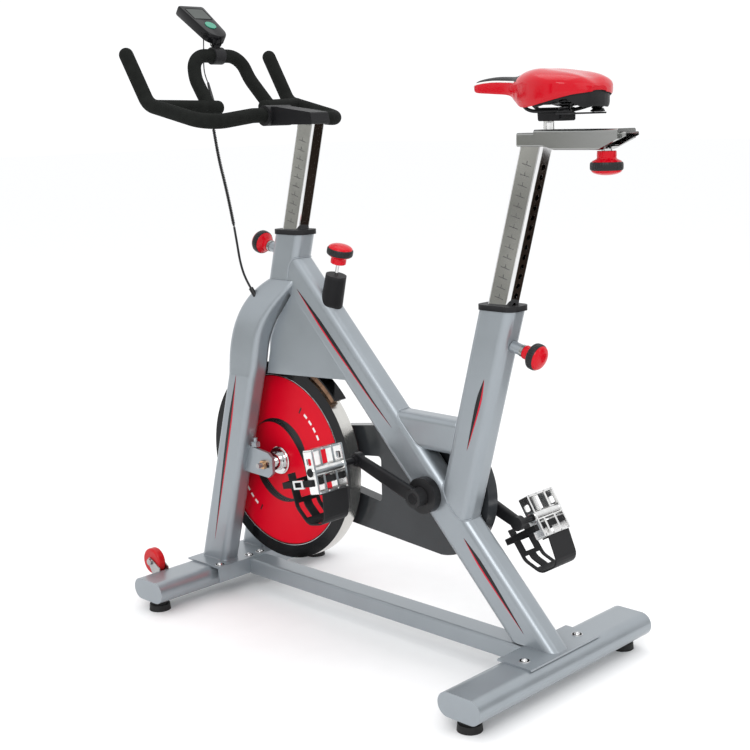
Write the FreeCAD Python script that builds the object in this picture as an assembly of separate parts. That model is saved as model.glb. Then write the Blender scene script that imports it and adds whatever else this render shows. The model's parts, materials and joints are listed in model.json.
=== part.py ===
"""Indoor spin bike: welded steel frame, flywheel with chain drive, sliding posts, saddle, handlebar, console.

Millimetres.  +X is the front of the bike, +Y the rider's left, +Z up.
The bike is laid out with x measured from the bottom bracket, and every piece is then moved by ORIGIN_X
so that the origin is the middle of the footprint on the floor.
"""
import FreeCAD, Part
import math
import os

os.makedirs("parts", exist_ok=True)
V = FreeCAD.Vector

# ---- driving dimensions -------------------------------------------------------------------------
ORIGIN_X = -145.0           # bottom bracket, seen from the middle of the footprint

CRANK_LENGTH = 170.0        # bottom bracket centre to pedal spindle
CRANK_ANGLE = 20.7          # left crank above the horizontal, pointing forward
BRACKET_Z = 357.0           # height of the crank axle
CHAIN_Y = -50.0             # plane of the chain
CHAINRING_TEETH = 52
SPROCKET_TEETH = 16
CHAIN_PITCH = 12.7

FLYWHEEL_X = 482.6
FLYWHEEL_Z = 349.0
FLYWHEEL_RADIUS = 238.5
FLYWHEEL_HALF_WIDTH = 17.5
COVER_RADIUS = 204.5

LEAN = 15.0                 # rearward lean of both posts, the seat tube and the head tube
MAIN_SLOPE = 46.4           # slope of the long tube from the rear foot to the head
TUBE_DEPTH = 86.0           # frame tube section, in the side view
TUBE_WIDTH = 58.0
TUBE_CORNER = 19.0
TUBE_WALL = 2.5

STABILISER_HALF_LENGTH = 290.0
STABILISER_DEPTH = 106.0
STABILISER_BOTTOM = 28.0
STABILISER_TOP = 79.0
STABILISER_HEIGHT = STABILISER_TOP - STABILISER_BOTTOM
STABILISER_Z = (STABILISER_BOTTOM + STABILISER_TOP) / 2
END_CAP = 3.0
REAR_STABILISER_X = -303.0
FRONT_STABILISER_X = 666.0
FOOT_Y = 258.0
PLATE_THICKNESS = 4.0
PLATE_TOP = STABILISER_TOP + PLATE_THICKNESS

POST_DEPTH = 52.0
POST_WIDTH = 38.0
POST_WALL = 2.5
SLIDE_GAP = 0.3             # clearance all round a sliding post or carriage

HEAD_TOP_Z = 891.0
HEAD_BOTTOM_Z = 768.0
HANDLEBAR_POST_TOP_Z = 1136.0
HANDLEBAR_POST_LENGTH = 350.0
HANDLEBAR_X = 465.0         # cross part of the handlebar
HANDLEBAR_Z = 1157.0
GRIP_RADIUS = 16.5

SEAT_TOP_Z = 766.0
SEAT_POST_TOP_Z = 1086.0
SEAT_POST_LENGTH = 430.0
SEAT_RAIL_Z = (1086.0, 1112.0)
SEAT_RAIL_REAR = -482.0
SEAT_RAIL_FRONT = -238.0
SEAT_RAIL_WIDTH = 44.0
SLIDER_KNOB_X = -428.0
SADDLE_PIVOT_X = -298.0
SADDLE_PIVOT_Z = 1141.0
PIVOT_RADIUS = 8.0

PEDAL_Y = 172.0
PEDAL_TILT_LEFT = 103.0     # how far the toe clip hangs down and back
PEDAL_TILT_RIGHT = 122.0


def sine(degrees):
    return math.sin(math.radians(degrees))


def cosine(degrees):
    return math.cos(math.radians(degrees))


LEAN_UP = V(-sine(LEAN), 0, cosine(LEAN))
LEAN_FRONT = V(cosine(LEAN), 0, sine(LEAN))
MAIN_UP = V(cosine(MAIN_SLOPE), 0, sine(MAIN_SLOPE))
BRACKET = V(0, 0, BRACKET_Z)
HUB = V(FLYWHEEL_X, 0, FLYWHEEL_Z)


def on_axis(point, direction, z):
    """The point at height z on the line through a point along a direction."""
    return point + direction * ((z - point.z) / direction.z)


HEAD_AXIS = V(409.5, 0, 922.0)
SEAT_AXIS = V(-187.0, 0, 780.0)
MAIN_AXIS = V(-12.6, 0, 357.0)
BRAKE_TOP = V(273.0, 0, 857.0)
BRAKE_DOWN = LEAN_UP * -1


# ---- helpers ------------------------------------------------------------------------------------
def save(name, solids):
    """Move a piece to the shared origin and write it."""
    shape = solids[0] if len(solids) == 1 else Part.makeCompound(solids)
    shape = shape.copy()
    shape.translate(V(ORIGIN_X, 0, 0))
    shape.exportStep("parts/%s.step" % name)


def box(x0, x1, y0, y1, z0, z1):
    return Part.makeBox(x1 - x0, y1 - y0, z1 - z0, V(x0, y0, z0))


def rod(start, end, radius):
    return Part.makeCylinder(radius, (end - start).Length, start, end - start)


def disc(center, y0, y1, radius):
    """A cylinder along Y between two planes."""
    return Part.makeCylinder(radius, y1 - y0, V(center.x, y0, center.z), V(0, 1, 0))


def ring(center, y0, y1, outer, inner):
    return disc(center, y0, y1, outer).cut(disc(center, y0 - 1, y1 + 1, inner))


def slab(points, y0, y1):
    """A plate along Y from a closed outline of (x, z) points."""
    corners = [V(x, y0, z) for x, z in points]
    return Part.Face(Part.makePolygon(corners + corners[:1])).extrude(V(0, y1 - y0, 0))


def rounded_loop(center, across, side, depth, width, radius):
    """A closed rounded rectangle, depth along `across` and width along `side`."""
    a = depth / 2 - radius
    b = width / 2 - radius
    edges = []
    corners = [(a, b, 0), (-a, b, 90), (-a, -b, 180), (a, -b, 270)]

    def at(u, v):
        return center + across * u + side * v

    for index, (u, v, turn) in enumerate(corners):
        arc = [at(u + radius * cosine(turn + step), v + radius * sine(turn + step))
               for step in (0, 45, 90)]
        edges.append(Part.Arc(*arc).toShape())
        next_u, next_v, next_turn = corners[(index + 1) % 4]
        start = at(next_u + radius * cosine(next_turn), next_v + radius * sine(next_turn))
        if (start - arc[2]).Length > 1e-6:
            edges.append(Part.makeLine(arc[2], start))
    return Part.Wire(edges)


def bar(start, end, depth, width, radius, wall=0.0):
    """A straight tube of rounded section; its width lies along Y."""
    direction = (end - start).normalize()
    across = V(0, 1, 0).cross(direction)
    length = (end - start).Length
    section = Part.Face(rounded_loop(start, across, V(0, 1, 0), depth, width, radius))
    solid = section.extrude(direction * length)
    if wall:
        inner = Part.Face(rounded_loop(start - direction, across, V(0, 1, 0), depth - 2 * wall,
                                       width - 2 * wall, max(radius - wall, 1.0)))
        solid = solid.cut(inner.extrude(direction * (length + 2)))
    return solid


def cross_bar(x, z, depth, height, y0, y1, wall=0.0):
    """A stadium tube along Y."""
    def loop(d, h):
        return Part.Face(rounded_loop(V(x, y0, z), V(1, 0, 0), V(0, 0, 1), d, h, h / 2 - 0.01))
    solid = loop(depth, height).extrude(V(0, y1 - y0, 0))
    if wall:
        solid = solid.cut(loop(depth - 2 * wall, height - 2 * wall).extrude(V(0, y1 - y0, 0)))
    return solid


def bend_path(points, radii):
    """Straight runs joined by tangent arcs, one radius for each inner point."""
    edges = []
    start = points[0]
    for before, corner, after, radius in zip(points, points[1:], points[2:], radii):
        u = (before - corner).normalize()
        w = (after - corner).normalize()
        half = u.getAngle(w) / 2
        reach = radius / math.tan(half)
        middle = corner + (u + w).normalize() * (radius / math.sin(half) - radius)
        first = corner + u * reach
        last = corner + w * reach
        if (first - start).Length > 1e-6:
            edges.append(Part.makeLine(start, first))
        edges.append(Part.Arc(first, middle, last).toShape())
        start = last
    edges.append(Part.makeLine(start, points[-1]))
    return Part.Wire(edges)


def pipe(path, radius):
    """A round bar swept along a path, checked against its section times its length."""
    edge = path.Edges[0]
    start = edge.valueAt(edge.FirstParameter)
    circle = Part.Wire(Part.makeCircle(radius, start, edge.tangentAt(edge.FirstParameter)))
    solid = path.makePipeShell([circle], True, True)
    expected = math.pi * radius ** 2 * path.Length
    print("pipe length %.1f, volume / expected %.4f" % (path.Length, solid.Volume / expected))
    return solid


def cord_radii(points):
    """The largest tangent arcs that the runs of a cord allow."""
    radii = []
    for before, corner, after in zip(points, points[1:], points[2:]):
        turn = math.pi - (before - corner).getAngle(after - corner)
        shorter = min((before - corner).Length, (after - corner).Length)
        radii.append(0.45 * shorter / math.tan(turn / 2))
    return radii


def mirrored(shape):
    return shape.mirror(V(0, 0, 0), V(0, 1, 0))


def revolved(profile, origin, axis):
    """A turned piece: (distance along axis, radius) pairs, closed on the axis."""
    corners = [V(r, 0, h) for h, r in profile]
    corners = [V(0, 0, profile[0][0])] + corners + [V(0, 0, profile[-1][0])]
    face = Part.Face(Part.makePolygon(corners + corners[:1]))
    solid = face.revolve(V(0, 0, 0), V(0, 0, 1), 360)
    solid.Placement = FreeCAD.Placement(origin, FreeCAD.Rotation(V(0, 0, 1), axis))
    return solid


def toothed_disc(center, teeth, y0, y1):
    """A chain wheel whose teeth reach just past the pitch circle."""
    pitch_radius = CHAIN_PITCH / (2 * math.sin(math.pi / teeth))
    points = []
    for index in range(teeth):
        for share, radius in ((-0.34, pitch_radius - 3.6), (-0.12, pitch_radius + 2.6),
                              (0.12, pitch_radius + 2.6), (0.34, pitch_radius - 3.6)):
            angle = 2 * math.pi * (index + share) / teeth
            points.append((center.x + radius * math.cos(angle), center.z + radius * math.sin(angle)))
    return slab(points, y0, y1)


def rounded_slab(points, radius, y0, y1):
    """A plate along Y whose corners are rounded by one radius."""
    corners = [V(x, y0, z) for x, z in points]
    count = len(corners)
    edges = []
    marks = []
    for index in range(count):
        corner = corners[index]
        u = (corners[index - 1] - corner).normalize()
        w = (corners[(index + 1) % count] - corner).normalize()
        half = u.getAngle(w) / 2
        reach = radius / math.tan(half)
        middle = corner + (u + w).normalize() * (radius / math.sin(half) - radius)
        marks.append((corner + u * reach, middle, corner + w * reach))
    for index, (first, middle, last) in enumerate(marks):
        edges.append(Part.Arc(first, middle, last).toShape())
        edges.append(Part.makeLine(last, marks[(index + 1) % count][0]))
    return Part.Face(Part.Wire(edges)).extrude(V(0, y1 - y0, 0))


# ---- frame tubes --------------------------------------------------------------------------------
def head_solid(extra=0.0):
    """The outside of the head tube as one solid."""
    bottom = on_axis(HEAD_AXIS, LEAN_UP, HEAD_BOTTOM_Z)
    top = on_axis(HEAD_AXIS, LEAN_UP, HEAD_TOP_Z)
    return bar(bottom, top, TUBE_DEPTH + extra, TUBE_WIDTH + extra, TUBE_CORNER)


def level_top(tube, z):
    """A leaning tube cut off level at its top."""
    return tube.cut(box(-600, 900, -100, 100, z, z + 200))


def head_tube():
    bottom = on_axis(HEAD_AXIS, LEAN_UP, HEAD_BOTTOM_Z)
    top = on_axis(HEAD_AXIS, LEAN_UP, HEAD_TOP_Z + 30)
    tube = bar(bottom, top, TUBE_DEPTH, TUBE_WIDTH, TUBE_CORNER, TUBE_WALL)
    return level_top(tube, HEAD_TOP_Z).cut(pin_hole(HEAD_PIN, LEAN_FRONT))


def seat_solid():
    bottom = on_axis(SEAT_AXIS, LEAN_UP, 270.0)
    top = on_axis(SEAT_AXIS, LEAN_UP, SEAT_TOP_Z)
    return bar(bottom, top, TUBE_DEPTH, TUBE_WIDTH, TUBE_CORNER)


def seat_tube():
    bottom = on_axis(SEAT_AXIS, LEAN_UP, 270.0)
    top = on_axis(SEAT_AXIS, LEAN_UP, SEAT_TOP_Z + 30)
    tube = bar(bottom, top, TUBE_DEPTH, TUBE_WIDTH, TUBE_CORNER, TUBE_WALL)
    tube = keep_part_at(tube.cut(main_solid()), on_axis(SEAT_AXIS, LEAN_UP, SEAT_TOP_Z))
    return level_top(tube, SEAT_TOP_Z).cut(pin_hole(SEAT_PIN, LEAN_FRONT * -1))


def main_solid():
    start = on_axis(MAIN_AXIS, MAIN_UP, 20.0)
    end = on_axis(MAIN_AXIS, MAIN_UP, 870.0)
    solid = bar(start, end, TUBE_DEPTH, TUBE_WIDTH, TUBE_CORNER)
    return solid.cut(box(-600, 0, -100, 100, -100, PLATE_TOP))


def keep_part_at(shape, point):
    """The one solid of a cut shape that lies nearest to a point."""
    return min(shape.Solids, key=lambda solid: (solid.CenterOfMass - point).Length)


def main_tube():
    start = on_axis(MAIN_AXIS, MAIN_UP, 20.0)
    end = on_axis(MAIN_AXIS, MAIN_UP, 870.0)
    tube = bar(start, end, TUBE_DEPTH, TUBE_WIDTH, TUBE_CORNER, TUBE_WALL)
    tube = tube.cut(box(-600, 0, -100, 100, -100, PLATE_TOP))
    tube = keep_part_at(tube.cut(head_solid()), MAIN_AXIS)
    tube = tube.cut(disc(BRACKET, -60, 60, 26.0))
    post_path = bar(on_axis(HEAD_AXIS, LEAN_UP, 650.0), on_axis(HEAD_AXIS, LEAN_UP, HEAD_BOTTOM_Z),
                    POST_DEPTH + 2 * SLIDE_GAP, POST_WIDTH + 2 * SLIDE_GAP, 6.0)
    tube = keep_part_at(tube.cut(post_path), MAIN_AXIS)
    return tube.cut(rod(BRAKE_TOP, BRAKE_TOP + BRAKE_DOWN * 330, 7.0))


def brace():
    """Short level tube between the main tube and the seat tube."""
    tube = bar(V(-120, 0, 488), V(130, 0, 488), 76.0, 50.0, 15.0, TUBE_WALL)
    tube = tube.cut(seat_solid()).cut(main_solid())
    return keep_part_at(tube, V(0, 0, 488))


# height, rear edge, front edge, inner face, outer face of the left fork leg
LEG_FOOT = (PLATE_TOP, 622.0, 712.0, 40.0, 90.0)
LEG_SHOULDER = [(560.0, 487.0, 577.0, 40.0, 90.0), (615.0, 475.0, 573.0, 38.0, 88.0),
                (670.0, 464.0, 563.0, 30.0, 82.0), (720.0, 440.0, 546.0, 14.0, 68.0)]
LEG_TOP = [(755.0, 415.0, 523.0, 1.0, 52.0), (786.0, 396.0, 486.0, 0.2, 32.0)]
LEG_WALL = 3.0


def leg_section(section, inset=0.0):
    z, rear, front, inner, outer = section
    radius = min(15.0, (outer - inner) / 2 - 1) - inset
    return rounded_loop(V((rear + front) / 2, (inner + outer) / 2, z), V(1, 0, 0), V(0, 1, 0),
                        front - rear - 2 * inset, outer - inner - 2 * inset, radius)


def leg_loft(sections, ruled, inset=0.0):
    return Part.makeLoft([leg_section(section, inset) for section in sections], True, ruled)


def fork_leg():
    """Left fork leg: straight below, drawn in and back to the head tube above."""
    lower = leg_loft([LEG_FOOT, LEG_SHOULDER[0]], True)
    upper = leg_loft(LEG_SHOULDER + LEG_TOP, False)
    channel = bar(on_axis(HEAD_AXIS, LEAN_UP, 600), on_axis(HEAD_AXIS, LEAN_UP, 900),
                  POST_DEPTH + 6, POST_WIDTH + 6, 4.0)
    room = head_solid().fuse(channel).fuse(main_solid())
    upper = upper.cut(room).cut(box(300, 700, -50, 0.2, 500, 900))
    upper = keep_part_at(upper, V(500, 60, 650))
    leg = lower.fuse(upper).removeSplitter()
    leg = leg.cut(leg_loft([LEG_FOOT, LEG_SHOULDER[0]], True, LEG_WALL))
    return keep_part_at(leg.cut(leg_loft(LEG_SHOULDER[:3], False, LEG_WALL + 1.0)), V(560, 65, 400))


def fairing_panel():
    """Left skin between the leg and the main tube, above the flywheel."""
    leg_side = Part.BSplineCurve()
    leg_side.interpolate([V(483, 44, 566), V(472, 43, 620), V(459, 38, 672), V(433, 30, 722),
                          V(405, 29, 757)])
    top = V(398, 28.5, 756)
    bottom = V(233, 28.5, 576)
    face = Part.makeRuledSurface(leg_side.toShape(), Part.makeLine(bottom, top))
    panel = face.extrude(V(0, -2.5, 0))
    panel = panel.cut(bar(on_axis(MAIN_AXIS, MAIN_UP, 300), on_axis(MAIN_AXIS, MAIN_UP, 850),
                          TUBE_DEPTH, TUBE_WIDTH, TUBE_CORNER))
    panel = panel.cut(fork_leg()).cut(head_solid())
    return keep_part_at(panel, V(400, 30, 640))


def stabiliser_bar(x, y0, y1, wall=0.0):
    """A length of the flat oval stabiliser section."""
    return cross_bar(x, STABILISER_Z, STABILISER_DEPTH, STABILISER_HEIGHT, y0, y1, wall)


def stabiliser(x):
    end = STABILISER_HALF_LENGTH - END_CAP
    tube = stabiliser_bar(x, -end, end, TUBE_WALL)
    for y in (-FOOT_Y, FOOT_Y):
        tube = tube.cut(rod(V(x, y, 0), V(x, y, STABILISER_BOTTOM + 6), 8.0))
    return tube


def end_caps():
    caps = []
    for x in (REAR_STABILISER_X, FRONT_STABILISER_X):
        cap = stabiliser_bar(x, STABILISER_HALF_LENGTH - END_CAP, STABILISER_HALF_LENGTH)
        caps += [cap, mirrored(cap)]
    return caps


def base_rail():
    """Rectangular tube along the floor, let into both stabilisers."""
    z = 59.5
    rail = bar(V(REAR_STABILISER_X, 0, z), V(FRONT_STABILISER_X, 0, z), 39.0, TUBE_WIDTH, 6.0, TUBE_WALL)
    for x in (REAR_STABILISER_X, FRONT_STABILISER_X):
        rail = rail.cut(stabiliser_bar(x, -100, 100))
    lip_room = box(FRONT_PLATE[0] - LIP_THICKNESS, FRONT_STABILISER_X, -60, 60, 30, 90)
    return keep_part_at(rail.cut(lip_room), V(150, 0, z))


REAR_PLATE = (-341.0, -256.0, 116.0)        # rear edge, front edge, half width
FRONT_PLATE = (600.0, 716.0, 128.0)
LIP_THICKNESS = 4.0
LIP_BOTTOM = 44.0


def base_plates():
    """Plates that bolt the frame to the two stabilisers; the front one has a lip behind."""
    plates = []
    for rear, front, half in (REAR_PLATE, FRONT_PLATE):
        plates.append(box(rear, front, -half, half, STABILISER_TOP, PLATE_TOP))
    rear, front, half = FRONT_PLATE
    lip = box(rear - LIP_THICKNESS, rear, -half, half, LIP_BOTTOM, PLATE_TOP)
    return [plates[0], plates[1].fuse(lip).removeSplitter()]


def bolt_head(x, y, z):
    """A domed bolt head on a washer."""
    washer = Part.makeCylinder(10.0, 1.5, V(x, y, z))
    dome = Part.makeSphere(7.0, V(x, y, z - 1.0), V(0, 0, 1), 0, 90)
    return washer.fuse(dome.common(box(x - 9, x + 9, y - 9, y + 9, z + 1.4, z + 9)))


def plate_bolts():
    places = [(-304, 89), (612, 112), (612, 18)]
    return [bolt_head(x, side * y, PLATE_TOP) for x, y in places for side in (1, -1)]


COLLAR_SLEEVE = 28.0
COLLAR_HEIGHT = 11.0
COLLAR_BRIM = 2.5


def tube_collar(axis_point, top_z):
    """Plastic collar, level on top of a leaning tube, with a sleeve that guides the post."""
    seat = on_axis(axis_point, LEAN_UP, top_z)
    middle = on_axis(axis_point, LEAN_UP, top_z + COLLAR_HEIGHT / 2)
    depth = TUBE_DEPTH / LEAN_UP.z + 2 * COLLAR_BRIM
    rim = rounded_loop(V(middle.x, 0, top_z), V(1, 0, 0), V(0, 1, 0),
                       depth, TUBE_WIDTH + 2 * COLLAR_BRIM, TUBE_CORNER)
    flange = Part.Face(rim).extrude(V(0, 0, COLLAR_HEIGHT))
    sleeve = bar(seat - LEAN_UP * COLLAR_SLEEVE, seat + LEAN_UP * 20, TUBE_DEPTH - 2 * TUBE_WALL - 0.4,
                 TUBE_WIDTH - 2 * TUBE_WALL - 0.4, TUBE_CORNER - TUBE_WALL)
    bore = bar(seat - LEAN_UP * 60, seat + LEAN_UP * 40,
               POST_DEPTH + 2 * SLIDE_GAP, POST_WIDTH + 2 * SLIDE_GAP, 6.0 + SLIDE_GAP)
    return flange.fuse(level_top(sleeve, top_z)).cut(bore).removeSplitter()


# ---- pop pins ------------------------------------------------------------------------------------
HEAD_PIN = on_axis(HEAD_AXIS, LEAN_UP, 840.0) + LEAN_FRONT * (TUBE_DEPTH / 2)
SEAT_PIN = on_axis(SEAT_AXIS, LEAN_UP, 706.0) - LEAN_FRONT * (TUBE_DEPTH / 2)
BOSS_LENGTH = 33.0
PIN_RADIUS = 5.0
PIN_TIP_GAP = 0.4           # the pin's tip stops this far outside the post


def pin_hole(point, outward):
    return rod(point - outward * (TUBE_DEPTH / 4), point + outward * 6, 9.0)


def pin_boss(point, outward):
    """Welded boss with a bore for the pull pin."""
    boss = rod(point - outward * 6, point + outward * BOSS_LENGTH, 8.9)
    boss = boss.fuse(rod(point + outward, point + outward * BOSS_LENGTH, 11.5))
    return boss.cut(rod(point - outward * 8, point + outward * (BOSS_LENGTH + 2), PIN_RADIUS + 0.05))


def knob_solids(point, outward, radius, neck):
    """Round knob: neck, swelling rim and domed cap; `point` is the start of the neck."""
    return revolved([(0, neck), (11, neck + 1), (15, radius * 0.74), (20, radius * 0.94), (24, radius),
                     (32, radius), (35, radius * 0.93), (40, radius * 0.7), (43, radius * 0.4), (44, 2)],
                    point, outward)


def pull_knob(point, outward):
    """Knob with its pin, which runs through the boss to the face of the post."""
    inward_reach = (TUBE_DEPTH - POST_DEPTH) / 2 - PIN_TIP_GAP
    pin = rod(point - outward * inward_reach, point + outward * (BOSS_LENGTH + 1.0), PIN_RADIUS)
    return pin.fuse(knob_solids(point + outward * (BOSS_LENGTH + 0.5), outward, 27.5, 14.0))


# ---- posts ---------------------------------------------------------------------------------------
HOLE_STEP = 20.0            # spacing of the pin holes in both posts


def post(axis_point, top_z, length, hole_side, pin_point):
    """Rounded rectangular post with a row of holes for the pull pin."""
    top = on_axis(axis_point, LEAN_UP, top_z)
    tube = bar(top - LEAN_UP * length, top + LEAN_UP * 10, POST_DEPTH, POST_WIDTH, 6.0, POST_WALL)
    tube = level_top(tube, top_z)
    height = (pin_point - top).dot(LEAN_UP)
    while height - HOLE_STEP > 15 - length:
        height -= HOLE_STEP
    while height < -30:
        center = top + LEAN_UP * height
        tube = tube.cut(rod(center, center + hole_side * POST_DEPTH, 5.6))
        height += HOLE_STEP
    return tube


def handlebar_post():
    return post(HEAD_AXIS, HANDLEBAR_POST_TOP_Z, HANDLEBAR_POST_LENGTH, LEAN_FRONT, HEAD_PIN)


def seat_post():
    """Seat post with the level rail that is welded on top of it."""
    tube = post(SEAT_AXIS, SEAT_POST_TOP_Z, SEAT_POST_LENGTH, LEAN_FRONT * -1, SEAT_PIN)
    low, high = SEAT_RAIL_Z
    middle = (low + high) / 2
    rail = bar(V(SEAT_RAIL_REAR, 0, middle), V(SEAT_RAIL_FRONT, 0, middle),
               high - low, SEAT_RAIL_WIDTH, 4.0, 2.5)
    slot = box(SLIDER_KNOB_X - 46, SLIDER_KNOB_X + 56, -6, 6, low - 5, low + 6)
    plug = box(SEAT_RAIL_FRONT - 4, SEAT_RAIL_FRONT, -19, 19, low + 3, high - 3)
    slant = slab([(SEAT_RAIL_REAR, low + 19), (SEAT_RAIL_REAR + 46, low), (SEAT_RAIL_REAR + 46, low - 5),
                  (SEAT_RAIL_REAR - 5, low - 5)], -40, 40)
    return [tube, rail.cut(slot).cut(slant), plug]


# ---- handlebar -----------------------------------------------------------------------------------
def handlebar_bar():
    """Bull-horn bar with padded tube: cross part behind, arms forward, horns up."""
    half = [V(725, 216, 1300), V(655, 214, 1188), V(455, 207, 1143), V(466, 70, 1158), V(466, 0, 1158)]
    points = half + [V(p.x, -p.y, p.z) for p in reversed(half[:-1])]
    inner = points[1:4] + points[5:8]
    route = [points[0]] + inner + [points[-1]]
    path = bend_path(route, [46, 52, 60, 60, 52, 46])
    solid = pipe(path, GRIP_RADIUS)
    for end in (points[0], points[-1]):
        solid = solid.fuse(Part.makeSphere(GRIP_RADIUS, end))
    return solid.removeSplitter()


LOOP_FOOT = V(590, 92, 1179)            # where a leg of the loop leaves its stub
LOOP_ELBOW = V(588, 80, 1179)           # padded end of the left stub, where the cord comes out
LOOP_TOP_X = 668.0
LOOP_TOP_Z = 1298.0


def handlebar_loop():
    """Inner loop: a stub inwards from each arm, and a hoop that rises from the two stubs."""
    radius = GRIP_RADIUS - 0.8
    half = [LOOP_FOOT, V(648, 82, 1245), V(LOOP_TOP_X, 70, LOOP_TOP_Z)]
    route = half + [V(p.x, -p.y, p.z) for p in reversed(half)]
    loop = pipe(bend_path(route, [90, 44, 44, 90]), radius)
    arm = V(624, 213, 1182)
    end = V(581, 58.5, 1177.5)
    stub = rod(arm, end, GRIP_RADIUS - 0.3)
    tip = max(stub.Edges, key=lambda edge: (edge.CenterOfMass - arm).Length)
    stub = stub.makeFillet(GRIP_RADIUS - 3.0, [tip])
    return loop.fuse(stub).fuse(mirrored(stub)).cut(handlebar_bar()).removeSplitter()


def handlebar_bracket():
    """Cast head between the post and the cross part of the handlebar."""
    rear = on_axis(HEAD_AXIS, LEAN_UP, HANDLEBAR_POST_TOP_Z).x - 34
    base = HANDLEBAR_POST_TOP_Z
    outline = [(rear, base), (HANDLEBAR_X + 20, base), (HANDLEBAR_X + 26, base + 12),
               (HANDLEBAR_X + 20, base + 42), (HANDLEBAR_X - 30, base + 40), (rear + 6, base + 26)]
    plate = rounded_slab(outline, 5.0, -27, 27)
    clamp = disc(V(HANDLEBAR_X, 0, HANDLEBAR_Z), -38, 38, GRIP_RADIUS + 6.5)
    return plate.fuse(clamp).cut(handlebar_bar()).removeSplitter()


CONSOLE_PIVOT = V(668, 0, 1326)
CONSOLE_TILT = 35.3
CASE_BACK = 1.0             # the case between these heights over the hinge, and this long
CASE_FACE = 25.0
CASE_LENGTH = 126.0
BUTTON_X = 38.0             # along the case from the hinge
BUTTON_RADIUS = 14.0


def on_console(shape):
    """Set a piece, drawn level at the hinge, to the tilt of the console."""
    shape.Placement = FreeCAD.Placement(CONSOLE_PIVOT, FreeCAD.Rotation(V(0, 1, 0), -CONSOLE_TILT))
    return shape


def console_stem():
    """Clamp on the loop with a short fork that carries the console."""
    clamp = disc(V(LOOP_TOP_X, 0, LOOP_TOP_Z), -15, 15, GRIP_RADIUS + 3.5)
    stem = box(CONSOLE_PIVOT.x - 5, CONSOLE_PIVOT.x + 5, -9, 9, LOOP_TOP_Z + 15, CONSOLE_PIVOT.z)
    eye = disc(CONSOLE_PIVOT, -9, 9, 7.0)
    return clamp.fuse(stem).fuse(eye).cut(handlebar_loop()).cut(disc(CONSOLE_PIVOT, -20, 20, 2.55))


def console_case():
    """Computer with a round lower end, widening upwards, its hinge ears and pin, and its lens."""
    edges = [Part.Arc(V(20, -30, CASE_BACK), V(-10, 0, CASE_BACK), V(20, 30, CASE_BACK)).toShape()]
    corners = [V(20, 30, CASE_BACK), V(CASE_LENGTH, 37.5, CASE_BACK), V(CASE_LENGTH, -37.5, CASE_BACK),
               V(20, -30, CASE_BACK)]
    for start, end in zip(corners, corners[1:]):
        edges.append(Part.makeLine(start, end))
    case = Part.Face(Part.Wire(edges)).extrude(V(0, 0, CASE_FACE - CASE_BACK))
    upright = [edge for edge in case.Edges if abs(edge.tangentAt(0).z) > 0.9 and edge.CenterOfMass.x > 100]
    case = case.makeFillet(5.0, upright)
    case = case.cut(Part.makeCylinder(8.0, 18.8, V(0, -9.4, 0), V(0, 1, 0)))
    for low in (-12.4, 9.4):
        ear = disc(V(0, 0, 0), low, low + 3, 7.0).fuse(box(-7, 7, low, low + 3, 0, CASE_BACK + 4))
        case = case.fuse(ear)
    case = case.fuse(Part.makeCylinder(2.5, 24.8, V(0, -12.4, 0), V(0, 1, 0)))
    case = case.cut(Part.makeCylinder(BUTTON_RADIUS + 0.4, 10.0, V(BUTTON_X, 0, CASE_FACE - 7)))
    case = case.cut(box(66, 112, -27, 27, CASE_FACE - 2.5, CASE_FACE + 1))
    lens = box(66.2, 111.8, -26.8, 26.8, CASE_FACE - 2.5, CASE_FACE - 0.5)
    return [on_console(case), on_console(lens)]


def console_button():
    return on_console(Part.makeCylinder(BUTTON_RADIUS, 6.0, V(BUTTON_X, 0, CASE_FACE - 4)))


# ---- saddle --------------------------------------------------------------------------------------
SADDLE_PIVOT = V(SADDLE_PIVOT_X, 0, SADDLE_PIVOT_Z)


def seat_slider():
    """Carriage round the rail, with the stub whose cross barrel carries the saddle clamp."""
    low, high = SEAT_RAIL_Z
    middle = (low + high) / 2
    outer = bar(V(-470, 0, middle), V(-284, 0, middle), high - low + 12, 60.0, 5.0)
    half = SEAT_RAIL_WIDTH / 2 + SLIDE_GAP
    channel = box(-480, -270, -half, half, low - SLIDE_GAP, high + SLIDE_GAP)
    mouth = box(-398, -270, -20, 20, low - 10, low + 2)
    screw_hole = rod(V(SLIDER_KNOB_X, 0, low - 20), V(SLIDER_KNOB_X, 0, low + 2), 5.3)
    carriage = outer.cut(channel).cut(mouth).cut(screw_hole)
    base = middle - (high - low) / 2 - 6
    for end, heel, rise, beyond in ((-284, -330, 17, -275), (-470, -426, 20, -480)):
        wedge = slab([(end, base + rise), (heel, base), (heel, base - 9), (beyond, base - 9)], -40, 40)
        carriage = carriage.cut(wedge)
    stub = rod(V(SADDLE_PIVOT_X, 0, high + 5.5), V(SADDLE_PIVOT_X, 0, 1130), 11.1)
    neck = box(SADDLE_PIVOT_X - 5, SADDLE_PIVOT_X + 5, -10, 10, 1129, SADDLE_PIVOT_Z)
    barrel = disc(SADDLE_PIVOT, -12, 12, PIVOT_RADIUS)
    return carriage.fuse(stub).fuse(neck).fuse(barrel).removeSplitter()


def slider_knob():
    """Clamp knob under the carriage and its screw."""
    low = SEAT_RAIL_Z[0]
    screw = rod(V(SLIDER_KNOB_X, 0, low - 9), V(SLIDER_KNOB_X, 0, low - 0.5), 5.0)
    return screw.fuse(knob_solids(V(SLIDER_KNOB_X, 0, low - 8), V(0, 0, -1), 31.0, 18.0))


def saddle_section(x, half_width, top, bottom):
    center = V(x, 0, (top + bottom) / 2)
    radius = min(half_width, (top - bottom) / 2) * 0.86
    return rounded_loop(center, V(0, 1, 0), V(0, 0, 1), 2 * half_width, top - bottom, radius)


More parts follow.
